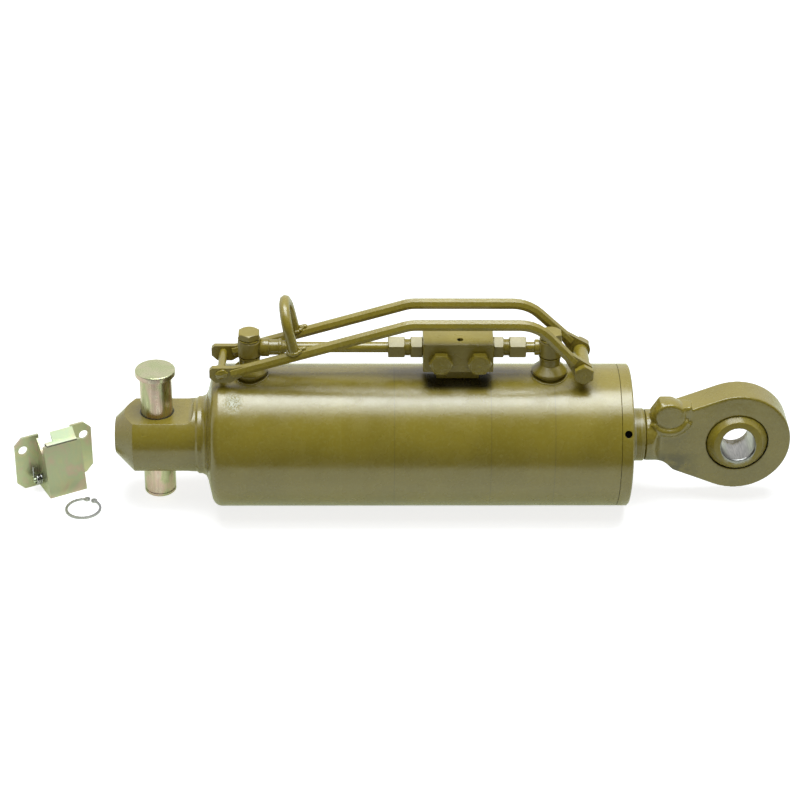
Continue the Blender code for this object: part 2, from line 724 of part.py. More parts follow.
def make_rod():
    spigot_end = PISTON_START - GAP - PISTON_NUT_HEIGHT - ROD_SPIGOT_PROUD
    shoulder = PISTON_END + GAP
    profile = [
        (0, ROD_END),
        (ROD_RADIUS - ROD_CHAMFER, ROD_END),
        (ROD_RADIUS, ROD_END - ROD_CHAMFER),
        (ROD_RADIUS, shoulder),
        (ROD_SPIGOT_RADIUS, shoulder),
        (ROD_SPIGOT_RADIUS, spigot_end + ROD_CHAMFER),
        (ROD_SPIGOT_RADIUS - ROD_CHAMFER, spigot_end),
        (0, spigot_end),
    ]
    keep(turned(profile, facets=ROD_FACETS), "piston_rod", CHROME)
    nut_x = PISTON_START - GAP - PISTON_NUT_HEIGHT / 2
    nut = keep(
        hexagon(PISTON_NUT_ACROSS_FLATS, PISTON_NUT_HEIGHT, (nut_x, 0, 0), "X"), "piston_nut", STEEL
    )
    reach = PISTON_NUT_HEIGHT / 2 + OVER
    combine(nut, rod(ROD_SPIGOT_RADIUS + FIT, reach, -reach, (nut_x, 0, 0)))


def make_rod_eye():
    """The forged eye: the side outline, the plan outline and a turned neck trim each other."""
    neck_end = ROD_END + NECK_LENGTH
    half = EYE_THICKNESS / 2
    reach = math.hypot(EYE_X - neck_end, SHANK_RADIUS)
    tangent = math.asin(EYE_RADIUS / reach) - math.atan2(SHANK_RADIUS, EYE_X - neck_end)
    rim_start = math.pi / 2 + tangent
    rim = arc((EYE_X, 0), EYE_RADIUS, rim_start, -rim_start, 36)
    start = ROD_END + GAP
    side = [(start, -SHANK_RADIUS), (start, SHANK_RADIUS), (neck_end, SHANK_RADIUS), *rim]
    side.append((neck_end, -SHANK_RADIUS))
    eye = keep(upright(flat(side, 2 * SHANK_RADIUS + OVER), 0), "rod_eye", PAINT)
    steps = 6
    sweep = [i / steps for i in range(steps + 1)]
    blend_start = ROD_END + NECK_BLEND_START
    plan = [
        (
            blend_start + NECK_BLEND_LENGTH * share,
            half + (SHANK_RADIUS - half) * (1 + math.cos(math.pi * share)) / 2,
        )
        for share in sweep
    ]
    far = EYE_X + EYE_RADIUS + OVER
    upper = [(start - OVER, SHANK_RADIUS), *plan, (far, half)]
    outline = upper + [(x, -y) for x, y in reversed(upper)]
    combine(eye, flat(outline, 2 * (EYE_RADIUS + OVER)), "INTERSECT")
    flare = [
        (
            SHANK_RADIUS + (NECK_FLARE_RADIUS - SHANK_RADIUS) * share**2,
            neck_end + NECK_FLARE_LENGTH * share,
        )
        for share in reversed(sweep)
    ]
    blank = [(0, far), (NECK_FLARE_RADIUS, far), *flare, (SHANK_RADIUS, start), (0, start)]
    combine(eye, turned(blank, facets=ROD_FACETS), "INTERSECT")
    combine(eye, lug_shape(), "UNION")
    combine(eye, lug_shelf(), "UNION")
    shape = bmesh.new()
    seat = BALL_RADIUS + BALL_SEAT_CLEARANCE
    bmesh.ops.create_uvsphere(shape, u_segments=SEAT_SEGMENTS, v_segments=SEAT_SEGMENTS // 2, radius=seat)
    combine(eye, solid_object(shape, (EYE_X, 0, 0), (math.pi / 2, 0, 0)))


def lug_shape():
    """The flat-faced locking lug that the forging carries above its neck."""
    half = LUG_HALF_LENGTH
    height = LUG_TOP - SHANK_RADIUS / 2
    outline = [
        (LUG_X + half * x_share, LUG_TOP - height * drop_share)
        for x_share, drop_share in (
            (-1, 0.44), (-0.57, 0), (0.04, 0), (0.4, LUG_STEP / height), (1, LUG_STEP / height),
            (0.96, 0.5), (0.6, 0.82), (0, 1), (-0.6, 0.87), (-0.95, 0.62),
        )
    ]
    lug = flat(outline, LUG_THICKNESS)
    shape = bmesh.new()
    shape.from_mesh(lug.data)
    rims = [e for e in shape.edges if abs(e.verts[0].co.z - e.verts[1].co.z) < LUG_THICKNESS / 4]
    bmesh.ops.bevel(shape, geom=rims, offset=LUG_EDGE, segments=1, affect="EDGES", profile=0.5)
    bmesh.ops.dissolve_limit(shape, angle_limit=0.01, verts=shape.verts, edges=shape.edges)
    shape.to_mesh(lug.data)
    shape.free()
    return upright(lug, LUG_FACE_Y + LUG_THICKNESS / 2)


def lug_shelf():
    """The rounded shelf of the forging under the lug's face."""
    height = (LUG_TOP + SHANK_RADIUS / 2) / 2
    radius = LUG_HALF_LENGTH * 0.9
    points = arc((LUG_X, height), radius, math.radians(200), math.radians(345), 8)
    return wire([(x, LUG_FACE_Y + LUG_EDGE, z) for x, z in points], LUG_SHELF_RADIUS, 1)


def make_ball():
    half = BALL_WIDTH / 2
    rim = math.asin(half / BALL_RADIUS)
    outside = [
        (BALL_RADIUS * math.cos(a), BALL_RADIUS * math.sin(a))
        for a in (rim - 2 * rim * i / 8 for i in range(9))
    ]
    chamfer = BALL_BORE_CHAMFER
    bore = [
        (BALL_BORE_RADIUS + chamfer, -half),
        (BALL_BORE_RADIUS, -half + chamfer),
        (BALL_BORE_RADIUS, half - chamfer),
        (BALL_BORE_RADIUS + chamfer, half),
    ]
    ball = turned(outside + bore, (EYE_X, 0, 0), "Y", PIN_FACETS, closed=True)
    ball.rotation_euler = (-math.pi / 2 - BALL_LEAN, 0, 0)
    keep(ball, "eye_ball", STEEL)


def make_port(name, x, stub_length, side):
    """A welded boss with its banjo, two bonded seals and a hollow banjo bolt."""
    base = math.sqrt(BARREL_RADIUS**2 - BOSS_FLARE_RADIUS**2) - BOSS_SINK / 2
    rim = BARREL_RADIUS + BOSS_RIM_RISE
    profile = [
        (BOSS_THREAD_RADIUS, BOSS_TOP),
        (BOSS_RADIUS, BOSS_TOP),
        (BOSS_RADIUS, BARREL_RADIUS + BOSS_FLARE_RISE),
        (BOSS_FLARE_RADIUS, rim),
        (BOSS_FLARE_RADIUS, rim - BOSS_RIM_HEIGHT),
        (BOSS_FOOT_RADIUS, rim - 1.5 * BOSS_RIM_HEIGHT),
        (BOSS_FOOT_RADIUS, base),
        (BOSS_THREAD_RADIUS, base),
    ]
    boss = keep(turned(profile, (x, 0, 0), "Z", BOSS_FACETS, closed=True), f"{name}_port_boss", PAINT)
    reach = BOSS_FLARE_RADIUS + OVER
    combine(boss, rod(BARREL_RADIUS + GAP, reach, -reach, (x, 0, 0), "X", BARREL_FACETS))
    low_seal = BOSS_TOP + GAP
    high_seal = PORT_AXIS_Z + BANJO_HALF + GAP
    for place, bottom in (("lower", low_seal), ("upper", high_seal)):
        seal = ring(BANJO_RADIUS, BANJO_BORE_RADIUS, bottom + SEAL_THICKNESS, bottom, (x, 0, 0), "Z")
        keep(seal, f"{name}_{place}_seal", STEEL)
    banjo = [
        (BANJO_BORE_RADIUS, BANJO_HALF),
        (BANJO_RADIUS - BANJO_CHAMFER, BANJO_HALF),
        (BANJO_RADIUS, BANJO_HALF - BANJO_CHAMFER),
        (BANJO_RADIUS, -BANJO_HALF + BANJO_CHAMFER),
        (BANJO_RADIUS - BANJO_CHAMFER, -BANJO_HALF),
        (BANJO_BORE_RADIUS, -BANJO_HALF),
    ]
    body = keep(turned(banjo, (x, 0, PORT_AXIS_Z), "Z", BOSS_FACETS, closed=True), f"{name}_banjo", PAINT)
    inner = (BANJO_BORE_RADIUS + BANJO_RADIUS) / 2
    ends = (inner, BANJO_RADIUS + stub_length)
    ends = sorted(side * end for end in ends)
    stub = rod(BANJO_STUB_RADIUS, ends[1], ends[0], (x, 0, PORT_AXIS_Z))
    combine(body, stub, "UNION")
    socket_start = BANJO_RADIUS + stub_length - PIPE_SOCKET_DEPTH
    socket = (socket_start, BANJO_RADIUS + stub_length + OVER)
    combine(body, side_hole(PIPE_RADIUS + FIT, socket, side, x))
    passage = (BANJO_BORE_RADIUS - OVER / 2, socket_start + OVER / 4)
    combine(body, side_hole(PIPE_BORE_RADIUS, passage, side, x))
    head_bottom = high_seal + SEAL_THICKNESS + GAP
    head_middle = head_bottom + BANJO_HEAD_HEIGHT / 2
    bolt = hexagon(BANJO_HEAD_FLATS, BANJO_HEAD_HEIGHT, (x, 0, head_middle), "Z")
    keep(bolt, f"{name}_banjo_bolt", PAINT)
    tip = BARREL_RADIUS + GAP
    combine(bolt, rod(BANJO_BOLT_RADIUS, head_middle, tip, (x, 0, 0), "Z"), "UNION")
    combine(bolt, rod(BANJO_BOLT_BORE, PORT_AXIS_Z, tip - OVER, (x, 0, 0), "Z"))


def side_hole(radius, span, side, x):
    """A round hole along X through a banjo's stub."""
    ends = (side * span[0], side * span[1])
    return rod(radius, max(ends), min(ends), (x, 0, PORT_AXIS_Z))


def make_pipe_run(name, stub_end, fitting_length, face_x, side):
    """A pipe from a banjo to the block, with its nut and the block's screwed fitting."""
    fitting_end = face_x + side * (GAP + fitting_length)
    thread_end = fitting_end + side * THREAD_LENGTH
    nut_start = thread_end + side * GAP
    nut_end = nut_start + side * NUT_LENGTH
    middle = ((face_x + side * GAP + fitting_end) / 2, 0, PORT_AXIS_Z)
    fitting = hexagon(FITTING_FLATS, fitting_length, middle, "X", math.pi / 6)
    keep(fitting, f"{name}_fitting", PAINT)
    inside = face_x - side * FITTING_SHANK_LENGTH
    ends = sorted((inside, thread_end))
    combine(fitting, rod(THREAD_RADIUS, ends[1], ends[0], (0, 0, PORT_AXIS_Z)), "UNION")
    ends = sorted((inside - side * OVER, thread_end + side * OVER))
    combine(fitting, rod(FITTING_BORE_RADIUS, ends[1], ends[0], (0, 0, PORT_AXIS_Z)))
    ends = sorted((thread_end - side * PIPE_SOCKET_DEPTH, thread_end + side * OVER))
    combine(fitting, rod(PIPE_RADIUS + FIT, ends[1], ends[0], (0, 0, PORT_AXIS_Z)))
    nut = hexagon(NUT_FLATS, NUT_LENGTH, ((nut_start + nut_end) / 2, 0, PORT_AXIS_Z), "X", math.pi / 6)
    keep(nut, f"{name}_nut", PAINT)
    ends = sorted((nut_start - side * OVER, nut_end + side * OVER))
    combine(nut, rod(PIPE_RADIUS + FIT, ends[1], ends[0], (0, 0, PORT_AXIS_Z)))
    inset = PIPE_SOCKET_DEPTH - GAP
    ends = sorted((stub_end + side * inset, thread_end - side * inset))
    pipe = ring(PIPE_RADIUS, PIPE_BORE_RADIUS, ends[1], ends[0], (0, 0, PORT_AXIS_Z))
    keep(pipe, f"{name}", PAINT)


def make_valve():
    """The block: a bore along X with the two check poppets and their pilot, and two plugged hose ports."""
    middle = ((BLOCK_START + BLOCK_END) / 2, 0, (BLOCK_BOTTOM + BLOCK_TOP) / 2)
    block = keep(box((BLOCK_LENGTH, BLOCK_WIDTH, BLOCK_HEIGHT), middle, BLOCK_EDGE), "valve_block", PAINT)
    thread_depth = FITTING_SHANK_LENGTH + GAP
    seat_depth = thread_depth + CHECK_CHAMBER_LENGTH
    half = BLOCK_LENGTH / 2
    bore = [
        (0, half + OVER),
        (THREAD_RADIUS + FIT, half + OVER),
        (THREAD_RADIUS + FIT, half - thread_depth),
        (CHECK_CHAMBER_RADIUS, half - thread_depth),
        (CHECK_CHAMBER_RADIUS, half - seat_depth),
        (PILOT_RADIUS + FIT, half - seat_depth),
    ]
    bore += [(radius, -height) for radius, height in reversed(bore)]
    combine(block, turned(bore, (middle[0], 0, PORT_AXIS_Z)))
    front = -BLOCK_WIDTH / 2
    for name, side in (("left", -1), ("right", 1)):
        x = PLUG_MIDDLE + side * PLUG_SPACING / 2
        step = front + PLUG_SHANK_LENGTH
        port = [
            (0, -PILOT_RADIUS),
            (PORT_PASSAGE_RADIUS, -PILOT_RADIUS),
            (PORT_PASSAGE_RADIUS, step),
            (PLUG_SHANK_RADIUS + FIT, step),
            (PLUG_SHANK_RADIUS + FIT, front - OVER),
            (0, front - OVER),
        ]
        combine(block, turned(port, (x, 0, PLUG_Z), "Y"))
        plug = hexagon(PLUG_FLATS, PLUG_HEAD, (x, front - GAP - PLUG_HEAD / 2, PLUG_Z), "Y", math.pi / 6)
        keep(plug, f"{name}_port_plug", PAINT)
        shank = rod(PLUG_SHANK_RADIUS, step - GAP, front - PLUG_HEAD / 2, (x, 0, PLUG_Z), "Y")
        combine(plug, shank, "UNION")
        make_check_valve(name, side, middle[0] + side * (half - seat_depth))
    reach = PILOT_LENGTH / 2
    stem_reach = half - seat_depth - PILOT_STEM_PLAY
    pilot = [
        (0, stem_reach),
        (PILOT_STEM_RADIUS, stem_reach),
        (PILOT_STEM_RADIUS, reach),
        (PILOT_RADIUS, reach),
    ]
    pilot += [(radius, -height) for radius, height in reversed(pilot)]
    keep(turned(pilot, (middle[0], 0, PORT_AXIS_Z)), "pilot_piston", STEEL)
    bleed = (PLUG_MIDDLE, BLEED_HOLE_Y, 0)
    combine(block, rod(BLEED_HOLE_RADIUS, BLOCK_TOP + OVER, BLOCK_TOP - BLEED_HOLE_DEPTH, bleed, "Z"))
    foot_height = BLOCK_BOTTOM - GAP - BARREL_RADIUS + OVER
    foot_middle = (middle[0], 0, BLOCK_BOTTOM - GAP - foot_height / 2)
    foot = keep(box((FOOT_LENGTH, FOOT_WIDTH, foot_height), foot_middle), "valve_foot", PAINT)
    combine(foot, saddle_cutter(middle[0], FOOT_LENGTH))


def make_check_valve(name, side, seat_x):
    """A poppet on its seat, and the spring between it and the fitting's end."""
    start = seat_x + side * GAP
    cone = POPPET_RADIUS - PILOT_RADIUS
    profile = [
        (0, start),
        (POPPET_RADIUS - cone, start),
        (POPPET_RADIUS, start + side * cone),
        (POPPET_RADIUS, start + side * POPPET_LENGTH),
        (0, start + side * POPPET_LENGTH),
    ]
    if side > 0:
        profile.reverse()
    keep(turned(profile, (0, 0, PORT_AXIS_Z)), f"{name}_check_poppet", STEEL)
    coil_radius = POPPET_RADIUS - CHECK_SPRING_WIRE
    room = CHECK_CHAMBER_LENGTH - POPPET_LENGTH - 3 * GAP - 2 * CHECK_SPRING_WIRE
    first = start + side * (POPPET_LENGTH + GAP + CHECK_SPRING_WIRE)
    per_turn = 8
    count = per_turn * CHECK_SPRING_TURNS
    angles = [math.tau * i / per_turn for i in range(count + 1)]
    coil = [
        (
            first + side * room * i / count,
            coil_radius * math.cos(angle),
            PORT_AXIS_Z + coil_radius * math.sin(angle),
        )
        for i, angle in enumerate(angles)
    ]
    keep(wire(coil, CHECK_SPRING_WIRE, 0), f"{name}_check_spring", STEEL)


def saddle_cutter(x, length):
    """The barrel's outside, to shape the foot of what is welded on it."""
    reach = length / 2 + OVER
    return rod(BARREL_RADIUS + GAP, reach, -reach, (x, 0, 0), "X", BARREL_FACETS)


def bar_corners(y, bend_to_bolt=FRONT_BEND_TO_BOLT):
    """The corner points of a handle bar's axis, from the base pin's side to the gland bolt's."""
    slope = math.atan2(BAR_TOP - GLAND_BOLT_Z, -bend_to_bolt)
    return [
        (BASE_PIN_X + BASE_FLAT_LENGTH / 3, y, BASE_PIN_Z),
        (BAR_FIRST_BEND_X, y, BAR_TOP),
        (GLAND_BOLT_X - bend_to_bolt, y, BAR_TOP),
        (
            GLAND_BOLT_X + BAR_ROUND_END * math.cos(slope),
            y,
            GLAND_BOLT_Z + BAR_ROUND_END * math.sin(slope),
        ),
    ]


def make_handle():
    for name, side, bend in (("front", -1, FRONT_BEND_TO_BOLT), ("rear", 1, REAR_BEND_TO_BOLT)):
        y = side * BAR_Y
        path = bent_path(bar_corners(y, bend), BAR_BEND_RADIUS)
        bar = keep(wire(path, BAR_RADIUS), f"{name}_handle_bar", PAINT)
        combine(bar, upright(flat(base_flat_outline(), FLAT_THICKNESS), y), "UNION")
        combine(bar, upright(flat(gland_flat_outline(bend), FLAT_THICKNESS), y), "UNION")
        reach = FLAT_THICKNESS / 2 + OVER
        combine(bar, rod(BASE_PIN_RADIUS + GAP, y + reach, y - reach, (BASE_PIN_X, 0, BASE_PIN_Z), "Y"))
        combine(bar, rod(BOLT_RADIUS + GAP, y + reach, y - reach, (GLAND_BOLT_X, 0, GLAND_BOLT_Z), "Y"))
        smooth(bar)
    make_hoop()
    half = BAR_Y + FLAT_THICKNESS / 2 + BASE_PIN_RADIUS / 4
    chamfer = BASE_PIN_RADIUS / 8
    pin = rod(BASE_PIN_RADIUS, half, -half, (BASE_PIN_X, 0, BASE_PIN_Z), "Y", FINE_FACETS, chamfer)
    keep(pin, "handle_pin", PAINT)
    make_gland_bolt()
    for name, x, z, radius in (
        ("base_saddle", BASE_PIN_X, BASE_PIN_Z, BASE_PIN_RADIUS),
        ("gland_saddle", GLAND_BOLT_X, GLAND_BOLT_Z, SPACER_RADIUS),
    ):
        bottom = BARREL_RADIUS - OVER / 2
        top = z - radius / 2
        size = (SADDLE_THICKNESS, SADDLE_WIDTH, top - bottom)
        saddle = keep(box(size, (x, 0, (top + bottom) / 2)), name, PAINT)
        combine(saddle, saddle_cutter(x, SADDLE_THICKNESS))
        combine(saddle, rod(radius + GAP, SADDLE_WIDTH, -SADDLE_WIDTH, (x, 0, z), "Y"))


def base_flat_outline():
    """The flattened end of a bar round the base pin."""
    left = BASE_PIN_X - BASE_FLAT_LENGTH * 0.4
    right = left + BASE_FLAT_LENGTH
    top = BASE_PIN_Z - BASE_FLAT_DROP + BASE_FLAT_HEIGHT / 2
    bottom = BASE_PIN_Z - BASE_FLAT_DROP - BASE_FLAT_HEIGHT / 2
    corner = BASE_FLAT_CORNER
    return [
        (left, bottom + corner),
        (left, top - corner / 2),
        (left + corner / 2, top),
        (right - corner, top),
        (right + corner, BASE_PIN_Z + BAR_RADIUS * 1.6),
        (right + corner, BASE_PIN_Z - BAR_RADIUS * 0.1),
        (right - 1.5 * corner, bottom),
        (left + corner, bottom),
    ]


def gland_flat_outline(bend_to_bolt):
    """The flattened end of a bar round the gland bolt, running up into the sloping bar."""
    slope = math.atan2(BAR_TOP - GLAND_BOLT_Z, -bend_to_bolt)
    middle = (GLAND_BOLT_X, GLAND_BOLT_Z)
    nose = arc(middle, GLAND_FLAT_RADIUS, slope - math.pi / 2, slope - 3 * math.pi / 2, 8)
    along = Vector((math.cos(slope), math.sin(slope)))
    across = Vector((-math.sin(slope), math.cos(slope)))
    neck = Vector(middle) + along * GLAND_FLAT_LENGTH
    left = neck + across * BAR_RADIUS * 0.8
    right = neck - across * BAR_RADIUS * 0.8
    return [*nose, (left.x, left.y), (right.x, right.y)]


def make_hoop():
    """The U-shaped hoop welded on the two bars, leaning with them."""
    start, bend = bar_corners(0)[:2]
    slope = (bend[2] - start[2]) / (bend[0] - start[0])
    base = Vector((HOOP_X, 0, start[2] + slope * (HOOP_X - start[0])))
    lean = Vector((-math.sin(HOOP_LEAN), 0, math.cos(HOOP_LEAN)))
    across = Vector((0, 1, 0))
    leg = HOOP_HEIGHT - BAR_Y
    crown = [
        base + lean * (leg + BAR_Y * math.sin(a)) - across * BAR_Y * math.cos(a)
        for a in (math.pi * i / 14 for i in range(15))
    ]
    path = [base - across * BAR_Y, *crown, base + across * BAR_Y]
    hoop = keep(wire(path, HOOP_RADIUS), "handle_hoop", PAINT)
    for y in (-BAR_Y, BAR_Y):
        combine(hoop, wire(bar_corners(y)[:2], BAR_RADIUS + GAP, 2))
    smooth(hoop)


def make_gland_bolt():
    x = GLAND_BOLT_X
    z = GLAND_BOLT_Z
    face = BAR_Y + FLAT_THICKNESS / 2 + GAP
    head_y = -face - BOLT_HEAD_HEIGHT / 2
    bolt = keep(hexagon(BOLT_FLATS, BOLT_HEAD_HEIGHT, (x, head_y, z), "Y"), "gland_bolt", PAINT)
    tip = face + NUT_HEIGHT + BOLT_RADIUS / 2
    combine(bolt, rod(BOLT_RADIUS, tip, head_y, (x, 0, z), "Y"), "UNION")
    nut_y = face + NUT_HEIGHT / 2
    nut = keep(hexagon(BOLT_FLATS, NUT_HEIGHT, (x, nut_y, z), "Y"), "gland_bolt_nut", PAINT)
    combine(nut, rod(BOLT_RADIUS + GAP, tip + OVER, face - OVER, (x, 0, z), "Y"))
    half = BAR_Y - FLAT_THICKNESS / 2 - GAP
    keep(ring(SPACER_RADIUS, BOLT_RADIUS + GAP, half, -half, (x, 0, z), "Y"), "handle_spacer", PAINT)


def catch_frame():
    """Where the catch stands: across its front plate is local X, into its depth is local Y."""
    return Matrix.Translation((*CATCH_CORNER, GROUND_Z)) @ Matrix.Rotation(CATCH_TURN, 4, "Z")


def put_in_catch(obj):
    obj.matrix_world = catch_frame() @ obj.matrix_basis
    return obj


def sheet_across(outline, width, x):
    """A flat outline of depths and heights in the catch, given a width across it."""
    sheet = flat(outline, width)
    turn = Matrix(((0, 0, 1, 0), (1, 0, 0, 0), (0, 1, 0, 0), (0, 0, 0, 1)))
    sheet.matrix_basis = Matrix.Translation((x, 0, 0)) @ turn
    return put_in_catch(sheet)


def make_catch():
    """The folded housing: a front plate that leans back, two walls and two ears."""
    t = CATCH_SHEET
    width = CATCH_WIDTH
    depth = CATCH_DEPTH
    left = -LEFT_EAR_WIDTH
    right = width + EAR_WIDTH
    outline = [
        (left, depth - t), (0, depth - t), (0, 0), (width, 0), (width, depth - t), (right, depth - t),
        (right, depth), (width - t, depth), (width - t, t), (t, t), (t, depth), (left, depth),
    ]
    shell = flat(outline, EAR_HEIGHT)
    for vertex in shell.data.vertices:
        if vertex.co.y < depth / 2:
            vertex.co.y += CATCH_SLOPE * (vertex.co.z + EAR_HEIGHT / 2)
    shell.location = (0, 0, EAR_HEIGHT / 2)
    housing = keep(put_in_catch(shell), "catch_housing", ZINC)
    for side_x, inward in ((left, 1), (right, -1)):
        for z in (EAR_HEIGHT, 0):
            corner = box((EAR_CORNER * math.sqrt(2),) * 3, (side_x, depth, z), turn=(0, math.pi / 4, 0))
            combine(housing, put_in_catch(corner))
        hole_place = (side_x + inward * EAR_HOLE_IN, 0, EAR_HEIGHT - EAR_HOLE_FROM_TOP)
        hole = rod(EAR_HOLE_RADIUS, depth + OVER, depth - t - OVER, hole_place, "Y")
        combine(housing, put_in_catch(hole))
    top = EAR_HEIGHT + OVER
    low = CATCH_HEIGHT - WALL_SLOPE_DROP
    notch = [
        (-OVER, CATCH_HEIGHT),
        (CATCH_SLOPE * CATCH_HEIGHT + t + GAP, CATCH_HEIGHT),
        (CATCH_SLOPE * low + t + GAP, low),
        (depth - t, EAR_HEIGHT - EAR_CORNER / 2),
        (depth - t, top),
        (-OVER, top),
    ]
    combine(housing, sheet_across(notch, width + OVER, width / 2))
    pin_place = (0, CATCH_PIN_DEPTH, CATCH_PIN_HEIGHT)
    bore = rod(CATCH_PIN_RADIUS + GAP, width + OVER, -OVER, pin_place, "X")
    combine(housing, put_in_catch(bore))
    pin_end = width + CATCH_PIN_PROUD / 4
    chamfer = CATCH_PIN_RADIUS / 5
    pin = rod(CATCH_PIN_RADIUS, pin_end, -CATCH_PIN_PROUD, pin_place, "X", FINE_FACETS, chamfer)
    keep(put_in_catch(pin), "catch_pin", ZINC)
    make_catch_flap()
    make_catch_spring()


def make_catch_flap():
    """The sprung flap: a web behind the front plate, a rising tongue and two cheeks on the pin."""
    t = FLAP_SHEET
    clear = CATCH_SHEET / 4
    left = CATCH_SHEET + clear
    right = CATCH_WIDTH - CATCH_SHEET - clear
    bottom = CATCH_PIN_HEIGHT
    top = CATCH_HEIGHT - t
    low = CATCH_SHEET + clear + CATCH_SLOPE * bottom
    high = CATCH_SHEET + clear + CATCH_SLOPE * top
    tip = high + FLAP_LIP_LENGTH
    side = [
        (low, bottom), (high, top), (tip, top + FLAP_LIP_RISE), (tip, top + FLAP_LIP_RISE - t),
        (high + t, top - t), (low + t, bottom),
    ]
    flap = keep(sheet_across(side, right - left, (left + right) / 2), "catch_flap", ZINC)
    middle = (CATCH_PIN_DEPTH, CATCH_PIN_HEIGHT)
    cheek = [(low + t / 2, bottom), *arc(middle, FLAP_CHEEK_RADIUS, -math.pi / 2, math.pi / 2, 8)]
    cheek += [((low + high + t) / 2, (bottom + top) / 2)]
    for x in (left + t / 2, right - t / 2):
        combine(flap, sheet_across(cheek, t, x), "UNION")
    bore = rod(CATCH_PIN_RADIUS + FIT, right + OVER, left - OVER, (0, *middle), "X")
    combine(flap, put_in_catch(bore))
    roll = high + FLAP_ROLL_LENGTH
    above = top + FLAP_LIP_RISE + OVER
    setback = [(roll, top - t), (roll, above), (tip + OVER, above), (tip + OVER, top - t)]
    cut = FLAP_TONGUE_SETBACK + OVER
    combine(flap, sheet_across(setback, cut, left - OVER + cut / 2))


def make_catch_spring():
    """A torsion spring round the pin, outside the left wall."""
    y = CATCH_PIN_DEPTH
    z = CATCH_PIN_HEIGHT
    pitch = 2 * SPRING_WIRE_RADIUS + GAP
    start_x = -GAP - SPRING_WIRE_RADIUS
    per_turn = 8
    coil = [
        (start_x - pitch * i / per_turn, y + SPRING_RADIUS * math.cos(a), z + SPRING_RADIUS * math.sin(a))
        for i, a in ((i, math.tau * i / per_turn) for i in range(per_turn * SPRING_TURNS + 1))
    ]
    end = coil[-1]
    coil.insert(0, (start_x, y + SPRING_RADIUS, z - SPRING_LEG / 2))
    coil.append((end[0], end[1], end[2] + SPRING_LEG))
    keep(put_in_catch(wire(coil, SPRING_WIRE_RADIUS, 1)), "catch_spring", STEEL)


def make_circlip():
    """An external circlip: a band that thins towards its gap, with two holed lugs."""
    steps = 24
    start = CIRCLIP_GAP_HALF
    span = math.tau - 2 * start
    outer = arc((0, 0), CIRCLIP_RADIUS, start, start + span, steps)
    inner = []
    for i in range(steps + 1):
        angle = start + span * (1 - i / steps)
        fullness = (1 - math.cos(angle)) / 2
        band = CIRCLIP_THIN_BAND + (CIRCLIP_BAND - CIRCLIP_THIN_BAND) * fullness
        radius = CIRCLIP_RADIUS - band
        inner.append((radius * math.cos(angle), radius * math.sin(angle)))
    clip = flat(outer + inner, CIRCLIP_THICKNESS)
    place = (*CIRCLIP_PLACE, GROUND_Z + CIRCLIP_THICKNESS / 2)
    clip.location = place
    clip.rotation_euler = (0, 0, CIRCLIP_TURN)
    keep(clip, "circlip", STEEL)
    frame = Matrix.Translation(place) @ Matrix.Rotation(CIRCLIP_TURN, 4, "Z")
    half = CIRCLIP_THICKNESS / 2
    lug_out = CIRCLIP_RADIUS - CIRCLIP_THIN_BAND / 2
    for side in (1, -1):
        angle = side * (start + CIRCLIP_LUG_RADIUS / CIRCLIP_RADIUS)
        lug_place = frame @ Vector((lug_out * math.cos(angle), lug_out * math.sin(angle), 0))
        combine(clip, rod(CIRCLIP_LUG_RADIUS, half, -half, lug_place, "Z"), "UNION")
        combine(clip, rod(CIRCLIP_LUG_HOLE, half + OVER, -half - OVER, lug_place, "Z", 8))


def make_part():
    clear_scene()
    make_nose_lug()
    make_hitch_pin()
    make_barrel()
    make_gland()
    make_seals()
    make_piston()
    make_rod()
    make_rod_eye()
    make_ball()
    make_port("cap", CAP_PORT_X, BANJO_STUB_LENGTH - BANJO_RADIUS, 1)
    make_port("rod", ROD_PORT_X, SHORT_STUB_LENGTH - BANJO_RADIUS, -1)
    make_pipe_run("long_pipe", CAP_PORT_X + BANJO_STUB_LENGTH, LONG_FITTING_LENGTH, BLOCK_START, -1)
    make_pipe_run("short_pipe", ROD_PORT_X - SHORT_STUB_LENGTH, SHORT_FITTING_LENGTH, BLOCK_END, 1)
    make_valve()
    make_handle()
    make_catch()
    make_circlip()


make_part()
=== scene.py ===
"""The tractor top link's finish: paint, plating, weld beads, threads and soft edges."""

import json
import math

import bmesh
import bpy
from mathutils import Matrix, Vector


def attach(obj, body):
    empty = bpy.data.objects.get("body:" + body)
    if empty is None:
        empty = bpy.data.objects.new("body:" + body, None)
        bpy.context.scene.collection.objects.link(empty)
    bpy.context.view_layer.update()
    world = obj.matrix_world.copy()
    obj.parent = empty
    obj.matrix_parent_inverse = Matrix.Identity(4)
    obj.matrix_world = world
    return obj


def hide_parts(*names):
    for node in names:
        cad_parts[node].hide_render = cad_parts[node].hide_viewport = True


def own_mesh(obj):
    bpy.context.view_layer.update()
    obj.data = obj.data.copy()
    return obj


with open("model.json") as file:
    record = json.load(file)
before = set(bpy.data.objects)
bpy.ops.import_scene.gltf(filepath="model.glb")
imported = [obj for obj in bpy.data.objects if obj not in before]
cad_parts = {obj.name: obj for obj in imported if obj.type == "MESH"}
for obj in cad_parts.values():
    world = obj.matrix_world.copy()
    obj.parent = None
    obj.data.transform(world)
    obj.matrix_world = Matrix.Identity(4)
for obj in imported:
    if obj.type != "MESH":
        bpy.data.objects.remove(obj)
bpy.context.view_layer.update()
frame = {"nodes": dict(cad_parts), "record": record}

# Places on the link, in metres
NOSE_END_X = 0.0855
BASE_EDGE_X = 0.1105
GLAND_END_X = 0.4838
BARREL_RADIUS = 0.0675
GROUND = -0.0675
EYE_X = 0.587
SEAT_MOUTH = 0.0287
BALL_BORE = 0.01605
PIN_X = 0.0395
PIN_TOP = 0.072
PIN_RADIUS = 0.015

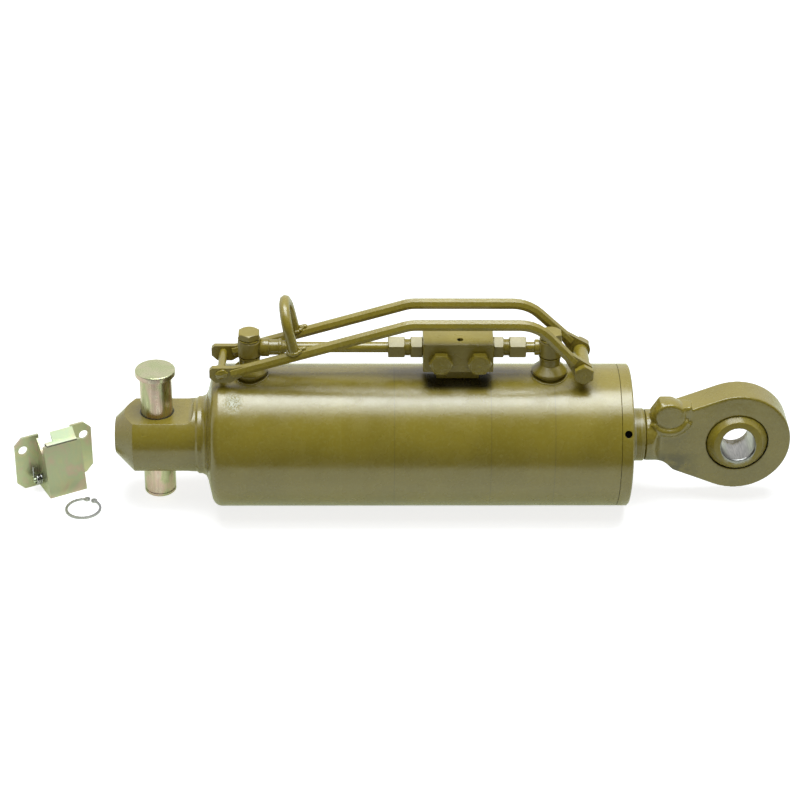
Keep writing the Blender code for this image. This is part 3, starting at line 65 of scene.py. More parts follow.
CAP_PORT_X = 0.1278
ROD_PORT_X = 0.4072
BOSS_WELD_RADIUS = 0.0169
PIPE_Z = 0.0957
VALVE_X = 0.3212
LEFT_PLUG = (0.30495, 0, 0.0903)
RIGHT_PLUG = (0.34065, 0, 0.0903)
GLAND_BOLT = (0.437, 0, 0.082)
BLEED_HOLE = (0.3211, -0.0082, 0.1085)
BLEED_HOLE_RADIUS = 0.0034

# Each bar of the handle rises along its middle line from its foot to its bend, as (x, z) places
BAR_FOOT = (0.1025, 0.080)
BAR_BEND = (0.2765, 0.1304)
BAR_TOP = 0.0040
HOOP_X = 0.1705
HOOP_Y = 0.0205
PEENED_END_Y = 0.0236
PEENED_END_Z = 0.0798
PEENED_END_RADII = (0.0060, 0.0019, 0.0048)

# Marks in the tube's paint: a dry patch and three faint lines; and a dark strip of painted shadow
# under the block
SCUFF = (0.1133, -0.0361, 0.057)
TURNING_LINES = (0.2623, 0.3518, 0.411)
BLOCK_SHADE_Y = -0.004

# The lug on the rod eye: its flat face, and the lip that runs below it as (x, z) places
LUG_FACE_MIDDLE = (0.5212, -0.0110, 0.0308)
LUG_FACE_RADII = (0.0155, 0.0180, 0.0137)
LUG_FACE_Y = -0.0188
LUG_BACK_Y = -0.001
LUG_LIP = (
    (0.5080, 0.0200),
    (0.5105, 0.0163),
    (0.5155, 0.0139),
    (0.5210, 0.0131),
    (0.5265, 0.0138),
    (0.5315, 0.0163),
    (0.5350, 0.0200),
    (0.5370, 0.0245),
)
LUG_LIP_Y = -0.0168
LUG_LIP_RADIUS = 0.0042

# The spring catch, which stands turned on the ground
CATCH_CORNER = (-0.0654, -0.0083)
CATCH_TURN = math.radians(28)
FLAP_SLOT_Z = GROUND + 0.0521


# ---------------------------------------------------------------- shader maths


class Value:
    """A shader socket that takes part in Python arithmetic."""

    def __init__(self, finish, socket):
        self.finish = finish
        self.socket = socket

    def maths(self, operation, first, second=None):
        inputs = {0: first} if second is None else {0: first, 1: second}
        return self.finish.node("ShaderNodeMath", {"operation": operation}, inputs)

    def __add__(self, other):
        return self.maths("ADD", self, other)

    def __sub__(self, other):
        return self.maths("SUBTRACT", self, other)

    def __mul__(self, other):
        return self.maths("MULTIPLY", self, other)

    def __radd__(self, other):
        return self.maths("ADD", other, self)

    def __rsub__(self, other):
        return self.maths("SUBTRACT", other, self)

    def __rmul__(self, other):
        return self.maths("MULTIPLY", other, self)

    def __gt__(self, other):
        return self.maths("GREATER_THAN", self, other)

    def __lt__(self, other):
        return self.maths("LESS_THAN", self, other)

    def __abs__(self):
        return self.maths("ABSOLUTE", self)


class Finish:
    """A material in the making: its nodes, and the Principled shader that they feed."""

    def __init__(self, name, metallic=0.0, ior=1.5):
        self.material = bpy.data.materials.new(name)
        self.material.use_nodes = True
        self.tree = self.material.node_tree
        self.shader = self.tree.nodes["Principled BSDF"]
        self.shader.inputs["Metallic"].default_value = metallic
        self.shader.inputs["IOR"].default_value = ior

    def node(self, kind, settings, sockets, output=0):
        """Makes a node, sets it up, and joins or fills its sockets."""
        made = self.tree.nodes.new(kind)
        for key, value in settings.items():
            if key == "stops":
                ramp = made.color_ramp
                while len(ramp.elements) < len(value):
                    ramp.elements.new(1)
                for element, (place, colour) in zip(ramp.elements, value):
                    element.position = place
                    element.color = (*colour, 1)
            else:
                setattr(made, key, value)
        for key, value in sockets.items():
            if isinstance(value, Value):
                self.tree.links.new(value.socket, made.inputs[key])
            else:
                made.inputs[key].default_value = value
        return Value(self, made.outputs[output])

    def place(self, middle=(0, 0, 0), stretch=(1, 1, 1)):
        """Object coordinates about a middle point, stretched along each axis."""
        here = self.node("ShaderNodeTexCoord", {}, {}, "Object")
        moved = self.node("ShaderNodeVectorMath", {"operation": "SUBTRACT"}, {0: here, 1: middle})
        return self.node("ShaderNodeVectorMath", {"operation": "MULTIPLY"}, {0: moved, 1: stretch})

    def parts_of(self, place):
        """The x, y and z of a place."""
        split = self.node("ShaderNodeSeparateXYZ", {}, {0: place})
        return [Value(self, socket) for socket in split.socket.node.outputs]

    def length(self, place):
        return self.node("ShaderNodeVectorMath", {"operation": "LENGTH"}, {0: place}, "Value")

    def noise(self, place, scale, detail=3.0, roughness=0.5, distortion=0.0):
        sockets = {"Vector": place, "Scale": scale, "Detail": detail}
        sockets |= {"Roughness": roughness, "Distortion": distortion}
        return self.node("ShaderNodeTexNoise", {}, sockets, "Fac")

    def specks(self, place, scale):
        return self.node("ShaderNodeTexVoronoi", {}, {"Vector": place, "Scale": scale}, "Distance")

    def between(self, value, low, high, start=0.0, end=1.0):
        """Runs from start to end while value runs from low to high, and stays level outside."""
        sockets = {"Value": value, 1: low, 2: high, 3: start, 4: end}
        return self.node("ShaderNodeMapRange", {"interpolation_type": "SMOOTHSTEP"}, sockets)

    def mix(self, share, first, second):
        """A colour between two colours."""
        ends = [(*c, 1) if isinstance(c, tuple) else c for c in (first, second)]
        sockets = {0: share, 6: ends[0], 7: ends[1]}
        return self.node("ShaderNodeMix", {"data_type": "RGBA"}, sockets, 2)

    def ramp(self, value, stops):
        return self.node("ShaderNodeValToRGB", {"stops": stops}, {0: value}, "Color")

    def set(self, **inputs):
        """Joins or fills the shader's own sockets."""
        for key, value in inputs.items():
            socket = self.shader.inputs[key.replace("_", " ")]
            if isinstance(value, Value):
                self.tree.links.new(value.socket, socket)
            else:
                socket.default_value = (*value, 1) if isinstance(value, tuple) else value

    def bump(self, height, distance, strength=1.0):
        sockets = {"Height": height, "Distance": distance, "Strength": strength}
        self.set(Normal=self.node("ShaderNodeBump", {}, sockets, "Normal"))


# ---------------------------------------------------------------- paints and platings

OLIVE = (0.286, 0.220, 0.023)
OLIVE_DEEP = (0.248, 0.190, 0.019)
OLIVE_PALE = (0.345, 0.300, 0.070)
# Near-black painted shade, for gaps, holes and the strip under the valve block
PAINTED_SHADE = (0.012, 0.010, 0.006)
LINE_SHADE = (0.16, 0.125, 0.02)
DUST = (0.52, 0.50, 0.33)
BRIGHT = (0.44, 0.43, 0.41)
CHALK = (0.74, 0.75, 0.62)
ENAMEL_IOR = 1.72


def paint_coat(finish):
    """Sprayed olive enamel: colour clouding, orange peel and the odd speck of dirt."""
    here = finish.place()
    clouds = finish.noise(here, 22, 4)
    fine = finish.noise(here, 420, 2)
    colour = finish.mix(finish.between(clouds, 0.35, 0.68), OLIVE_DEEP, OLIVE)
    colour = finish.mix(finish.between(fine, 0.45, 0.75) * 0.35, colour, OLIVE_PALE)
    dirt = finish.specks(here, 95) < finish.between(clouds, 0.5, 0.7, 0.02, 0.085)
    colour = finish.mix(dirt * 0.45, colour, (0.09, 0.075, 0.02))
    shine = finish.between(finish.noise(here, 60, 3), 0.3, 0.7, 0.22, 0.30)
    peel = finish.noise(here, 560, 2) * 0.6 + finish.noise(here, 150, 2) * 0.4
    return here, colour, shine, peel


def olive_paint(name="olive enamel", peel_depth=0.00035, duller=0.0):
    finish = Finish(name, ior=ENAMEL_IOR)
    _, colour, shine, peel = paint_coat(finish)
    finish.set(Base_Color=colour, Roughness=shine + duller)
    finish.bump(peel, peel_depth, 0.35)
    return finish.material


def barrel_paint():
    """The long tube: faint turning lines, one dry, overblown patch by its closed end, and painted
    shadow under the valve block.
    """
    finish = Finish("olive enamel on the tube", ior=ENAMEL_IOR)
    here, colour, shine, peel = paint_coat(finish)
    along = finish.place((0, 0, 0), (1, 0.02, 0.02))
    lines = finish.noise(along, 260, 3, 0.7)
    colour = finish.mix(finish.between(lines, 0.55, 0.8) * 0.3, colour, OLIVE_PALE)
    x, y, z = finish.parts_of(here)
    for line_x in TURNING_LINES:
        line = finish.between(abs(x - line_x), 0.0002, 0.0008, 0.5, 0)
        colour = finish.mix(line, colour, LINE_SHADE)
    away = finish.length(finish.place(SCUFF, (1, 0.9, 0.9)))
    crumbs = finish.noise(here, 640, 3, 0.65)
    dry = finish.between(away + crumbs * 0.006, 0.004, 0.0165, 1, 0)
    patch = dry * finish.between(crumbs, 0.36, 0.62)
    colour = finish.mix(patch * 0.9, colour, CHALK)
    rim = finish.between(abs(x - BASE_EDGE_X), 0.003, 0.012, 1, 0)
    spatter = finish.between(finish.noise(here, 420, 4, 0.7), 0.60, 0.72)
    colour = finish.mix(rim * spatter * 0.4, colour, OLIVE_PALE)
    # Painted shadow and reflection: the tube's top beside and under the valve block turns nearly
    # black
    beside = finish.between(abs(x - VALVE_X), 0.026, 0.036, 1, 0)
    under = beside * finish.between(abs(y - BLOCK_SHADE_Y), 0.014, 0.023, 1, 0) * (z > 0.05)
    colour = finish.mix(under * 0.95, colour, PAINTED_SHADE)
    finish.set(Base_Color=colour, Roughness=finish.between(dry, 0, 1, 0, 0.3) + shine)
    finish.bump(peel + patch * 1.6 + lines * 0.25, 0.00035, 0.4)
    return finish.material


def forged_paint():
    """Paint over a forging: coarser skin, blotchy darkening towards the neck's lower side, and a
    ring of painted shade at the ball's seat.
    """
    finish = Finish("olive enamel on the forging", ior=ENAMEL_IOR)
    here, colour, shine, peel = paint_coat(finish)
    scale_marks = finish.noise(here, 110, 5, 0.62, 0.4)
    x, _, z = finish.parts_of(here)
    # Blotchy darkening towards the neck's lower side
    low = finish.between(z, -0.004, -0.02) * finish.between(x, EYE_X - 0.028, EYE_X - 0.056)
    low_blotches = low * finish.between(scale_marks, 0.36, 0.55)
    colour = finish.mix(low_blotches * 0.7, colour, (0.060, 0.050, 0.018))
    colour = finish.mix(finish.between(scale_marks, 0.6, 0.8) * 0.4, colour, OLIVE_PALE)
    # Painted shade: a near-black ring on the eye where the ball's seat opens, in the gap round the
    # ball
    out = finish.length(finish.place((EYE_X, 0, 0), (1, 0, 1)))
    mouth = finish.between(out, SEAT_MOUTH + 0.0007, SEAT_MOUTH + 0.0013, 1, 0)
    colour = finish.mix(mouth, colour, PAINTED_SHADE)
    finish.set(Base_Color=colour, Roughness=shine + low_blotches * 0.15)
    finish.bump(peel * 0.5 + scale_marks * 1.2, 0.0007, 0.5)
    return finish.material


def bolt_head_paint(name, middle):
    """A hexagon head under enamel, with the centre mark that turning leaves."""
    finish = Finish(name, ior=ENAMEL_IOR)
    _, colour, shine, peel = paint_coat(finish)
    out = finish.length(finish.place(middle, (1, 0, 1)))
    mark = finish.between(out, 0.0006, 0.0019, 1, 0)
    chamfer_edge = 0.0078
    turning = finish.between(abs(out - chamfer_edge), 0.0001, 0.0006, 1, 0)
    colour = finish.mix(mark * 0.35, colour, OLIVE_PALE)
    finish.set(Base_Color=colour, Roughness=shine)
    finish.bump(peel * 0.4 - mark * 1.2 - turning * 0.5, 0.0008, 0.6)
    return finish.material


def gland_paint():
    """The gland nut: the same enamel, with painted shade down its spanner holes."""
    finish = Finish("olive enamel on the gland", ior=ENAMEL_IOR)
    here, colour, shine, peel = paint_coat(finish)
    x, _, _ = finish.parts_of(here)
    # Painted shade: what lies deeper than the gland's skin, in its spanner holes, is blackened
    out = finish.length(finish.place((0, 0, 0), (0, 1, 1)))
    deep = finish.between(out, BARREL_RADIUS - 0.0008, BARREL_RADIUS - 0.0022)
    colour = finish.mix(deep * (x < GLAND_END_X - 0.0015), colour, PAINTED_SHADE)
    finish.set(Base_Color=colour, Roughness=shine)
    finish.bump(peel, 0.00035, 0.35)
    return finish.material


def block_paint():
    """The valve block: enamel over sawn and milled steel, with painted shade down its bleed hole.
    """
    finish = Finish("olive enamel on the valve block", ior=ENAMEL_IOR)
    _, colour, shine, peel = paint_coat(finish)
    # Painted shade: the bleed hole is blackened below its mouth
    _, _, z = finish.parts_of(finish.place(BLEED_HOLE))
    out = finish.length(finish.place(BLEED_HOLE, (1, 1, 0)))
    colour = finish.mix((z < -0.0007) * (out < BLEED_HOLE_RADIUS), colour, PAINTED_SHADE)
    milling = finish.noise(finish.place((0, 0, 0), (0.05, 1, 1)), 700, 2)
    finish.set(Base_Color=colour, Roughness=shine + milling * 0.06)
    finish.bump(peel + milling * 0.5, 0.0003, 0.35)
    return finish.material


def nose_paint():
    """The nose: enamel, with a ring of painted shade round the hitch pin."""
    finish = Finish("olive enamel on the nose", ior=ENAMEL_IOR)
    here, colour, shine, peel = paint_coat(finish)
    # Painted shade: a dark ring at the gap round the hitch pin
    out = finish.length(finish.place((PIN_X, 0, 0), (1, 1, 0)))
    ragged = finish.noise(here, 300, 3)
    rim = finish.between(out + ragged * 0.0008, PIN_RADIUS + 0.0012, PIN_RADIUS + 0.0019, 1, 0)
    colour = finish.mix(rim, colour, (0.05, 0.042, 0.015))
    finish.set(Base_Color=colour, Roughness=shine + rim * 0.2)
    finish.bump(peel, 0.00035, 0.35)
    return finish.material


def ball_finish():
    """Painted ball with a bright bore, and paint knocked off the bore's lower rim."""
    finish = Finish("painted ball with a bright bore")
    here, colour, shine, peel = paint_coat(finish)
    _, _, z = finish.parts_of(here)
    out = finish.length(finish.place((EYE_X, 0, 0), (1, 0, 1)))
    chips = finish.noise(here, 260, 4, 0.6)
    edge = BALL_BORE + 0.0008
    bare = finish.between(out + chips * 0.0012, edge + 0.0004, edge + 0.0010, 1, 0)
    lower = finish.between(z, -0.008, -0.0145)
    knocked = lower * finish.between(out + chips * 0.009, 0.0205, 0.0250, 1, 0)
    knocked = knocked * finish.between(chips, 0.42, 0.50)
    bright = 1 - (1 - bare) * (1 - knocked)
    scratches = finish.noise(finish.place((0, 0, 0), (1, 0.06, 1)), 900, 3)
    steel = finish.mix(finish.between(scratches, 0.35, 0.7), (0.29, 0.29, 0.28), BRIGHT)
    colour = finish.mix(bright, colour, steel)
    finish.set(Base_Color=colour, Metallic=bright, Roughness=shine * (1 - bright) + bright * 0.34)
    finish.bump(peel * (1 - bright) + scratches * bright, 0.0003, 0.35)
    return finish.material


def rod_finish():
    """Chrome inside the cylinder, and olive overspray with ring lines on the length outside."""
    finish = Finish("rod, painted outside and chromed inside")
    here, colour, shine, _ = paint_coat(finish)
    x, _, _ = finish.parts_of(here)
    outside = finish.between(x, GLAND_END_X - 0.0008, GLAND_END_X - 0.0001)
    along = finish.place((0, 0, 0), (1, 0.03, 0.03))
    rings = finish.noise(along, 620, 2, 0.7)
    colour = finish.mix(finish.between(rings, 0.42, 0.7) * 0.7, colour, DUST)
    brushed = finish.noise(along, 2400, 2)
    chrome = finish.mix(finish.between(brushed, 0.3, 0.7), (0.66, 0.67, 0.68), (0.74, 0.75, 0.76))
    colour = finish.mix(outside, chrome, colour)
    shine = outside * shine + (1 - outside) * 0.12
    finish.set(Base_Color=colour, Metallic=1 - outside, Roughness=shine)
    finish.bump(rings * outside * 1.3 + brushed * 0.05, 0.0003, 0.5)
    return finish.material


def yellow_zinc(name, scale, tint=(1, 1, 1), dullness=0.30, metallic=0.85, slot_z=None):
    """Passivated zinc: straw yellow with green and rose, and a line of painted shade at the height
    slot_z.
    """
    finish = Finish(name, metallic=metallic)
    here = finish.place()
    film = finish.noise(here, scale, 3, 0.55, 0.8) * 0.9 + 0.06
    colour = finish.ramp(
        film,
        [
            (stop, tuple(t * c for t, c in zip(tint, colour)))
            for stop, colour in (
                (0.26, (0.56, 0.46, 0.34)),
                (0.40, (0.55, 0.57, 0.37)),
                (0.52, (0.49, 0.56, 0.38)),
                (0.64, (0.58, 0.50, 0.40)),
                (0.80, (0.64, 0.59, 0.46)),
            )
        ],
    )
    grain = finish.noise(here, 900, 3)
    if slot_z is not None:
        height = finish.parts_of(here)[2]
        # Painted shade: a dark line at the height of the flap's rolled lip
        shade_under_roll = finish.between(abs(height - slot_z), 0.0005, 0.0010, 0.85, 0)
        colour = finish.mix(shade_under_roll, colour, (0.07, 0.05, 0.035))
    shine = finish.between(grain, 0.3, 0.7, dullness, dullness + 0.07)
    finish.set(Base_Color=colour, Roughness=shine)
    finish.bump(grain * 0.4 + finish.noise(here, 130, 2), 0.0002, 0.2)
    return finish.material


def pin_plating():
    """The pin: rolled bar under a thin zinc film, with faint rings and rub marks along it, and a
    painted reflection down its front.
    """
    finish = Finish("zinc plated pin", metallic=0.95)
    here = finish.place((PIN_X, 0, 0))
    x, y, z = finish.parts_of(here)
    film = finish.noise(finish.place((PIN_X, 0, 0), (1, 1, 0.45)), 60, 3, 0.55, 0.8)
    # Painted reflection: on the pin's front half the film turns towards rose down a middle band
    # and towards green at its sides
    film = film + finish.between(abs(x + 0.001), 0.001, 0.009, 0.10, -0.03) * (y < 0)
    colour = finish.ramp(
        film,
        [
            (0.32, (0.52, 0.51, 0.34)),
            (0.41, (0.44, 0.45, 0.28)),
            (0.50, (0.56, 0.47, 0.36)),
            (0.61, (0.60, 0.44, 0.39)),
            (0.72, (0.63, 0.54, 0.46)),
        ],
    )
    rings = finish.noise(finish.place((PIN_X, 0, 0), (0.03, 0.03, 1)), 1500, 3, 0.7)
    rubs = finish.noise(finish.place((PIN_X, 0, 0), (1, 1, 0.05)), 500, 3)
    colour = finish.mix(finish.between(rubs, 0.55, 0.75) * 0.3, colour, (0.50, 0.47, 0.38))
    face = finish.between(z, PIN_TOP - 0.0012, PIN_TOP - 0.0004)
    spread = finish.between(finish.noise(here, 70, 2), 0.35, 0.7)
    colour = finish.mix(face, colour, finish.mix(spread, (0.47, 0.50, 0.28), (0.54, 0.52, 0.34)))
    finish.set(Base_Color=colour, Roughness=finish.between(rubs, 0.3, 0.75, 0.22, 0.42))
    finish.bump(rings * 0.6 + rubs * 0.3, 0.0002, 0.35)
    return finish.material


def machined_steel(name, colour=(0.50, 0.50, 0.49), rough=0.32):
    finish = Finish(name, metallic=1.0)
    here = finish.place()
    grain = finish.noise(here, 700, 4, 0.6)
    cloud = finish.noise(here, 60, 3)
    darker = tuple(0.72 * c for c in colour)
    finish.set(
        Base_Color=finish.mix(finish.between(cloud, 0.35, 0.7), darker, colour),
        Roughness=finish.between(grain, 0.3, 0.7, rough - 0.07, rough + 0.1),
    )
    finish.bump(grain, 0.00015, 0.3)
    return finish.material


def seal_rubber():
    finish = Finish("nitrile rubber")
    here = finish.place()
    grain = finish.noise(here, 1200, 3)
    worn = finish.between(grain, 0.35, 0.7)
    colour = finish.mix(worn, (0.018, 0.018, 0.019), (0.045, 0.045, 0.046))
    finish.set(Base_Color=colour, Roughness=finish.between(grain, 0.3, 0.7, 0.45, 0.65))
    finish.bump(grain, 0.0001, 0.3)
    return finish.material


def guide_bronze():
    finish = Finish("bronze filled guide band", metallic=0.2)
    here = finish.place()
    flecks = finish.noise(here, 1500, 3)
    colour = finish.mix(finish.between(flecks, 0.4, 0.65), (0.22, 0.12, 0.05), (0.42, 0.27, 0.13))
    finish.set(Base_Color=colour, Roughness=finish.between(flecks, 0.3, 0.7, 0.45, 0.6))
    finish.bump(flecks, 0.0001, 0.25)
    return finish.material


# ---------------------------------------------------------------- shapes

JOINING_DISTANCE = 0.000002
FLAT_ANGLE = 0.004


def linked(name, data):
    """A new object in the scene."""
    obj = bpy.data.objects.new(name, data)
    bpy.context.scene.collection.objects.link(obj)
    return obj


def mesh_of(shape, name):
    """Turns a finished bmesh into a mesh, and frees it."""
    mesh = bpy.data.meshes.new(name)
    shape.to_mesh(mesh)
    shape.free()
    return mesh


def smooth_all(obj):
    for face in obj.data.polygons:
        face.use_smooth = True
    return obj


def keep_piece(obj, name, body, finish, replaced=()):
    """Names a finished piece, gives it its material and lets it ride on its body."""
    obj.name = name
    obj.data.name = name
    obj.data.materials.clear()
    obj.data.materials.append(finish)
    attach(obj, body)
    if replaced:
        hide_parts(*replaced)


def baked(obj):
    """The object as a plain mesh with its modifiers applied, at the origin."""
    bpy.context.view_layer.update()
    graph = bpy.context.evaluated_depsgraph_get()
    mesh = bpy.data.meshes.new_from_object(obj.evaluated_get(graph))
    mesh.transform(obj.matrix_world)
    plain = linked(obj.name, mesh)
    bpy.data.objects.remove(obj)
    return plain


def round_shading(obj, angle=0.45):
    """Smooth over gentle edges, and crisp where faces meet at more than the angle."""
    shape = bmesh.new()
    shape.from_mesh(obj.data)
    for face in shape.faces:
        face.smooth = True
    for edge in shape.edges:
        edge.smooth = not (edge.is_manifold and edge.calc_face_angle(0) > angle)
    shape.to_mesh(obj.data)
    shape.free()
    return obj


def shape_of(node):
    """A CAD node's loose triangles, joined into one closed shape."""
    source = frame["nodes"][node]
    shape = bmesh.new()
    shape.from_mesh(source.data)
    bmesh.ops.transform(shape, matrix=source.matrix_world, verts=shape.verts)
    bmesh.ops.remove_doubles(shape, verts=shape.verts, dist=JOINING_DISTANCE)
    return shape


def merged_copy(node):
    """A copy of a CAD node whose loose triangles are joined into one skin of flat faces."""
    shape = shape_of(node)
    edges = {"verts": shape.verts, "edges": shape.edges}
    bmesh.ops.dissolve_limit(shape, angle_limit=FLAT_ANGLE, **edges)
    return linked(f"{node} skin", mesh_of(shape, f"{node} skin"))


def eased(node, width):
    """A copy of a CAD node with its hard edges eased as a spray coat or a deburr leaves them."""
    copy = merged_copy(node)
    ease = copy.modifiers.new("Ease", "BEVEL")
    ease.width = width
    ease.segments = 2
    ease.limit_method = "ANGLE"
    ease.angle_limit = math.radians(32)
    piece = round_shading(baked(copy))
    level = piece.modifiers.new("Level", "WEIGHTED_NORMAL")
    level.keep_sharp = True
    return baked(piece)


# ---------------------------------------------------------------- the link's own nodes

BODY_OF = {}
for joint_body, members in frame["record"]["behaviour"]["bodies"].items():
    for member in members:
        BODY_OF[member] = joint_body

PAINT = olive_paint()
FINISHES = {
    "barrel": barrel_paint(),
    "gland": gland_paint(),
    "left_port_plug": bolt_head_paint("enamel on the left plug", LEFT_PLUG),
    "right_port_plug": bolt_head_paint("enamel on the right plug", RIGHT_PLUG),
    "gland_bolt": bolt_head_paint("enamel on the gland bolt", GLAND_BOLT),
    "valve_block": block_paint(),
    "nose_lug": nose_paint(),
    "rod_eye": forged_paint(),
    "eye_ball": ball_finish(),
    "piston_rod": rod_finish(),
    "hitch_pin": pin_plating(),
    "circlip": machined_steel("spring steel circlip", (0.42, 0.42, 0.42), 0.34),
    "catch_housing": yellow_zinc("yellow zinc on the catch", 42, (1.02, 0.96, 0.88), 0.34, 0.7),
    # Painted light: the flap's zinc is a lighter copy of the catch's, its colours raised by about
    # half
    "catch_flap": yellow_zinc(
        "yellow zinc on the flap", 45, (1.50, 1.55, 1.46), 0.50, 0.1, FLAP_SLOT_Z
    ),
    "catch_pin": yellow_zinc("yellow zinc on the catch pin", 90),
    "catch_spring": machined_steel("spring wire", (0.50, 0.50, 0.50), 0.25),
}
FITTING_PAINT = olive_paint("olive enamel on the fittings", 0.0006, 0.14)
for end in ("long", "short"):
    for kind in ("nut", "fitting"):
        FINISHES[f"{end}_pipe_{kind}"] = FITTING_PAINT
for end in ("cap", "rod"):
    for kind in ("banjo", "banjo_bolt"):
        FINISHES[f"{end}_{kind}"] = FITTING_PAINT
STEEL = machined_steel("machined steel")
RUBBER = seal_rubber()
BRONZE = guide_bronze()

# What never shows keeps its CAD solid and takes only a new material
INSIDE = {
    "rod_seal": RUBBER,
    "rod_wiper": RUBBER,
    "gland_o_ring": RUBBER,
    "piston_seal": RUBBER,
    "rod_guide_ring": BRONZE,
    "rod_side_wear_ring": BRONZE,
    "cap_side_wear_ring": BRONZE,
    "piston": STEEL,
    "piston_nut": STEEL,
    "left_check_poppet": STEEL,
    "right_check_poppet": STEEL,
    "pilot_piston": STEEL,
}

# How wide the eased edges are, in metres. Round wires have no hard edge to ease.
EASE_WIDTHS = {
    "nose_lug": 0.0009,
    "base_saddle": 0.0008,
    "gland_saddle": 0.0008,
    "valve_foot": 0.0008,
    "valve_block": 0.0005,
    "catch_housing": 0.0006,
    "circlip": 0.00025,
    "catch_spring": 0.0,
    "handle_hoop": 0.0,
}
USUAL_EASE = 0.0004
WIRE_ANGLE = 0.8


def swelling(shape, middle, radii, front=None):
    """Adds a rounded swelling to a forging's blank, flat at the front if a depth is given."""
    made = bmesh.ops.create_icosphere(shape, subdivisions=4, radius=1)["verts"]
    for vertex in made:
        vertex.co = Vector([m + r * c for m, r, c in zip(middle, radii, vertex.co)])
        if front is not None:
            vertex.co.y = min(max(vertex.co.y, front), LUG_BACK_Y)


def lug_swellings(shape):
    """The lug's smooth face and the rounded lip that runs below it."""
    swelling(shape, LUG_FACE_MIDDLE, LUG_FACE_RADII, LUG_FACE_Y)
    steps = 4
    last_span = len(LUG_LIP) - 2
    whole = (last_span + 1) * steps
    for i in range(whole + 1):
        span = min(i // steps, last_span)
        share = i / steps - span
        (x0, z0), (x1, z1) = LUG_LIP[span], LUG_LIP[span + 1]
        x, z = x0 + (x1 - x0) * share, z0 + (z1 - z0) * share
        thick = LUG_LIP_RADIUS * (1 - 0.45 * abs(2 * i / whole - 1) ** 2)
        swelling(shape, (x, LUG_LIP_Y, z), (thick, thick + 0.0004, thick))


def forged(node):
    """A copy of a forging with the soft, slightly uneven corners that its dies leave."""
    shape = shape_of(node)
    lug_swellings(shape)
    copy = linked(f"{node} blank", mesh_of(shape, f"{node} blank"))
    skin = copy.modifiers.new("Skin", "REMESH")
    skin.mode = "VOXEL"
    skin.voxel_size = 0.0008
    soft = copy.modifiers.new("Soft", "SMOOTH")
    soft.factor = 0.5
    soft.iterations = 16
    return smooth_all(baked(copy))


def wire_skin(node):
    """A copy of a CAD node made of round wire."""
    return round_shading(baked(merged_copy(node)), WIRE_ANGLE)


def dress_node(node):
    """Puts a finished skin in the place of a CAD node."""
    width = EASE_WIDTHS.get(node, USUAL_EASE)
    if node == "rod_eye":
        piece = forged(node)
    else:
        piece = eased(node, width) if width else wire_skin(node)
    keep_piece(piece, f"{node}_skin", BODY_OF[node], FINISHES.get(node, PAINT), (node,))


def sprung(node):
    """A check spring, which shortens against its seat as its poppet lifts, dressed here as round
    wire on a mesh of its own.
    """
    piece = wire_skin(node)
    keep_piece(piece, f"{node}_skin", BODY_OF[node], STEEL, (node,))
    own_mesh(piece)


for node_name, node_object in frame["nodes"].items():
    if node_name == "left_check_spring":
        sprung(node_name)
    elif node_name == "right_check_spring":
        sprung(node_name)
    elif node_name in INSIDE:
        for slot in node_object.material_slots:
            slot.material = INSIDE[node_name]
    else:
        dress_node(node_name)


# ---------------------------------------------------------------- repeated details


class Growth:
    """A Geometry Nodes tree in the making, with named inputs for its sizes."""

    def __init__(self, name, sizes):
        self.tree = bpy.data.node_groups.new(name, "GeometryNodeTree")
        face = self.tree.interface
        face.new_socket("Path", in_out="INPUT", socket_type="NodeSocketGeometry")
        for size, kind in sizes.items():
            face.new_socket(size, in_out="INPUT", socket_type=f"NodeSocket{kind}")
        face.new_socket("Finish", in_out="INPUT", socket_type="NodeSocketMaterial")
        face.new_socket("Piece", in_out="OUTPUT", socket_type="NodeSocketGeometry")
        self.given = self.tree.nodes.new("NodeGroupInput").outputs

    def node(self, kind, settings, sockets):
        made = self.tree.nodes.new(kind)
        for key, value in settings.items():
            setattr(made, key, value)
        for key, value in sockets.items():
            if isinstance(value, bpy.types.NodeSocket):
                self.tree.links.new(value, made.inputs[key])
            else:
                made.inputs[key].default_value = value
        return made.outputs[0]

    def finish(self, copies):
        """Ends the tree: the copies made real, with the material on them."""
        whole = self.node("GeometryNodeRealizeInstances", {}, {0: copies})
        sockets = {"Geometry": whole, "Material": self.given["Finish"]}
        done = self.node("GeometryNodeSetMaterial", {}, sockets)
        end = self.tree.nodes.new("NodeGroupOutput")
        self.tree.links.new(done, end.inputs["Piece"])
        return self.tree


def thread_tree():
    """Thread crests: one ring after another along the axis."""
    sizes = {"Radius": "Float", "Crest": "Float", "Turns": "Int", "Pitch": "Float"}
    grow = Growth("thread crests", sizes)
    step = grow.node("ShaderNodeCombineXYZ", {}, {"Z": grow.given["Pitch"]})
    line = grow.node("GeometryNodeMeshLine", {}, {"Count": grow.given["Turns"], "Offset": step})
    round_path = "GeometryNodeCurvePrimitiveCircle"
    circle = grow.node(round_path, {}, {"Resolution": 40, "Radius": grow.given["Radius"]})
    section = grow.node(round_path, {}, {"Resolution": 6, "Radius": grow.given["Crest"]})
    crest = grow.node("GeometryNodeCurveToMesh", {}, {"Curve": circle, "Profile Curve": section})
    sockets = {"Points": line, "Instance": crest}
    return grow.finish(grow.node("GeometryNodeInstanceOnPoints", {}, sockets))


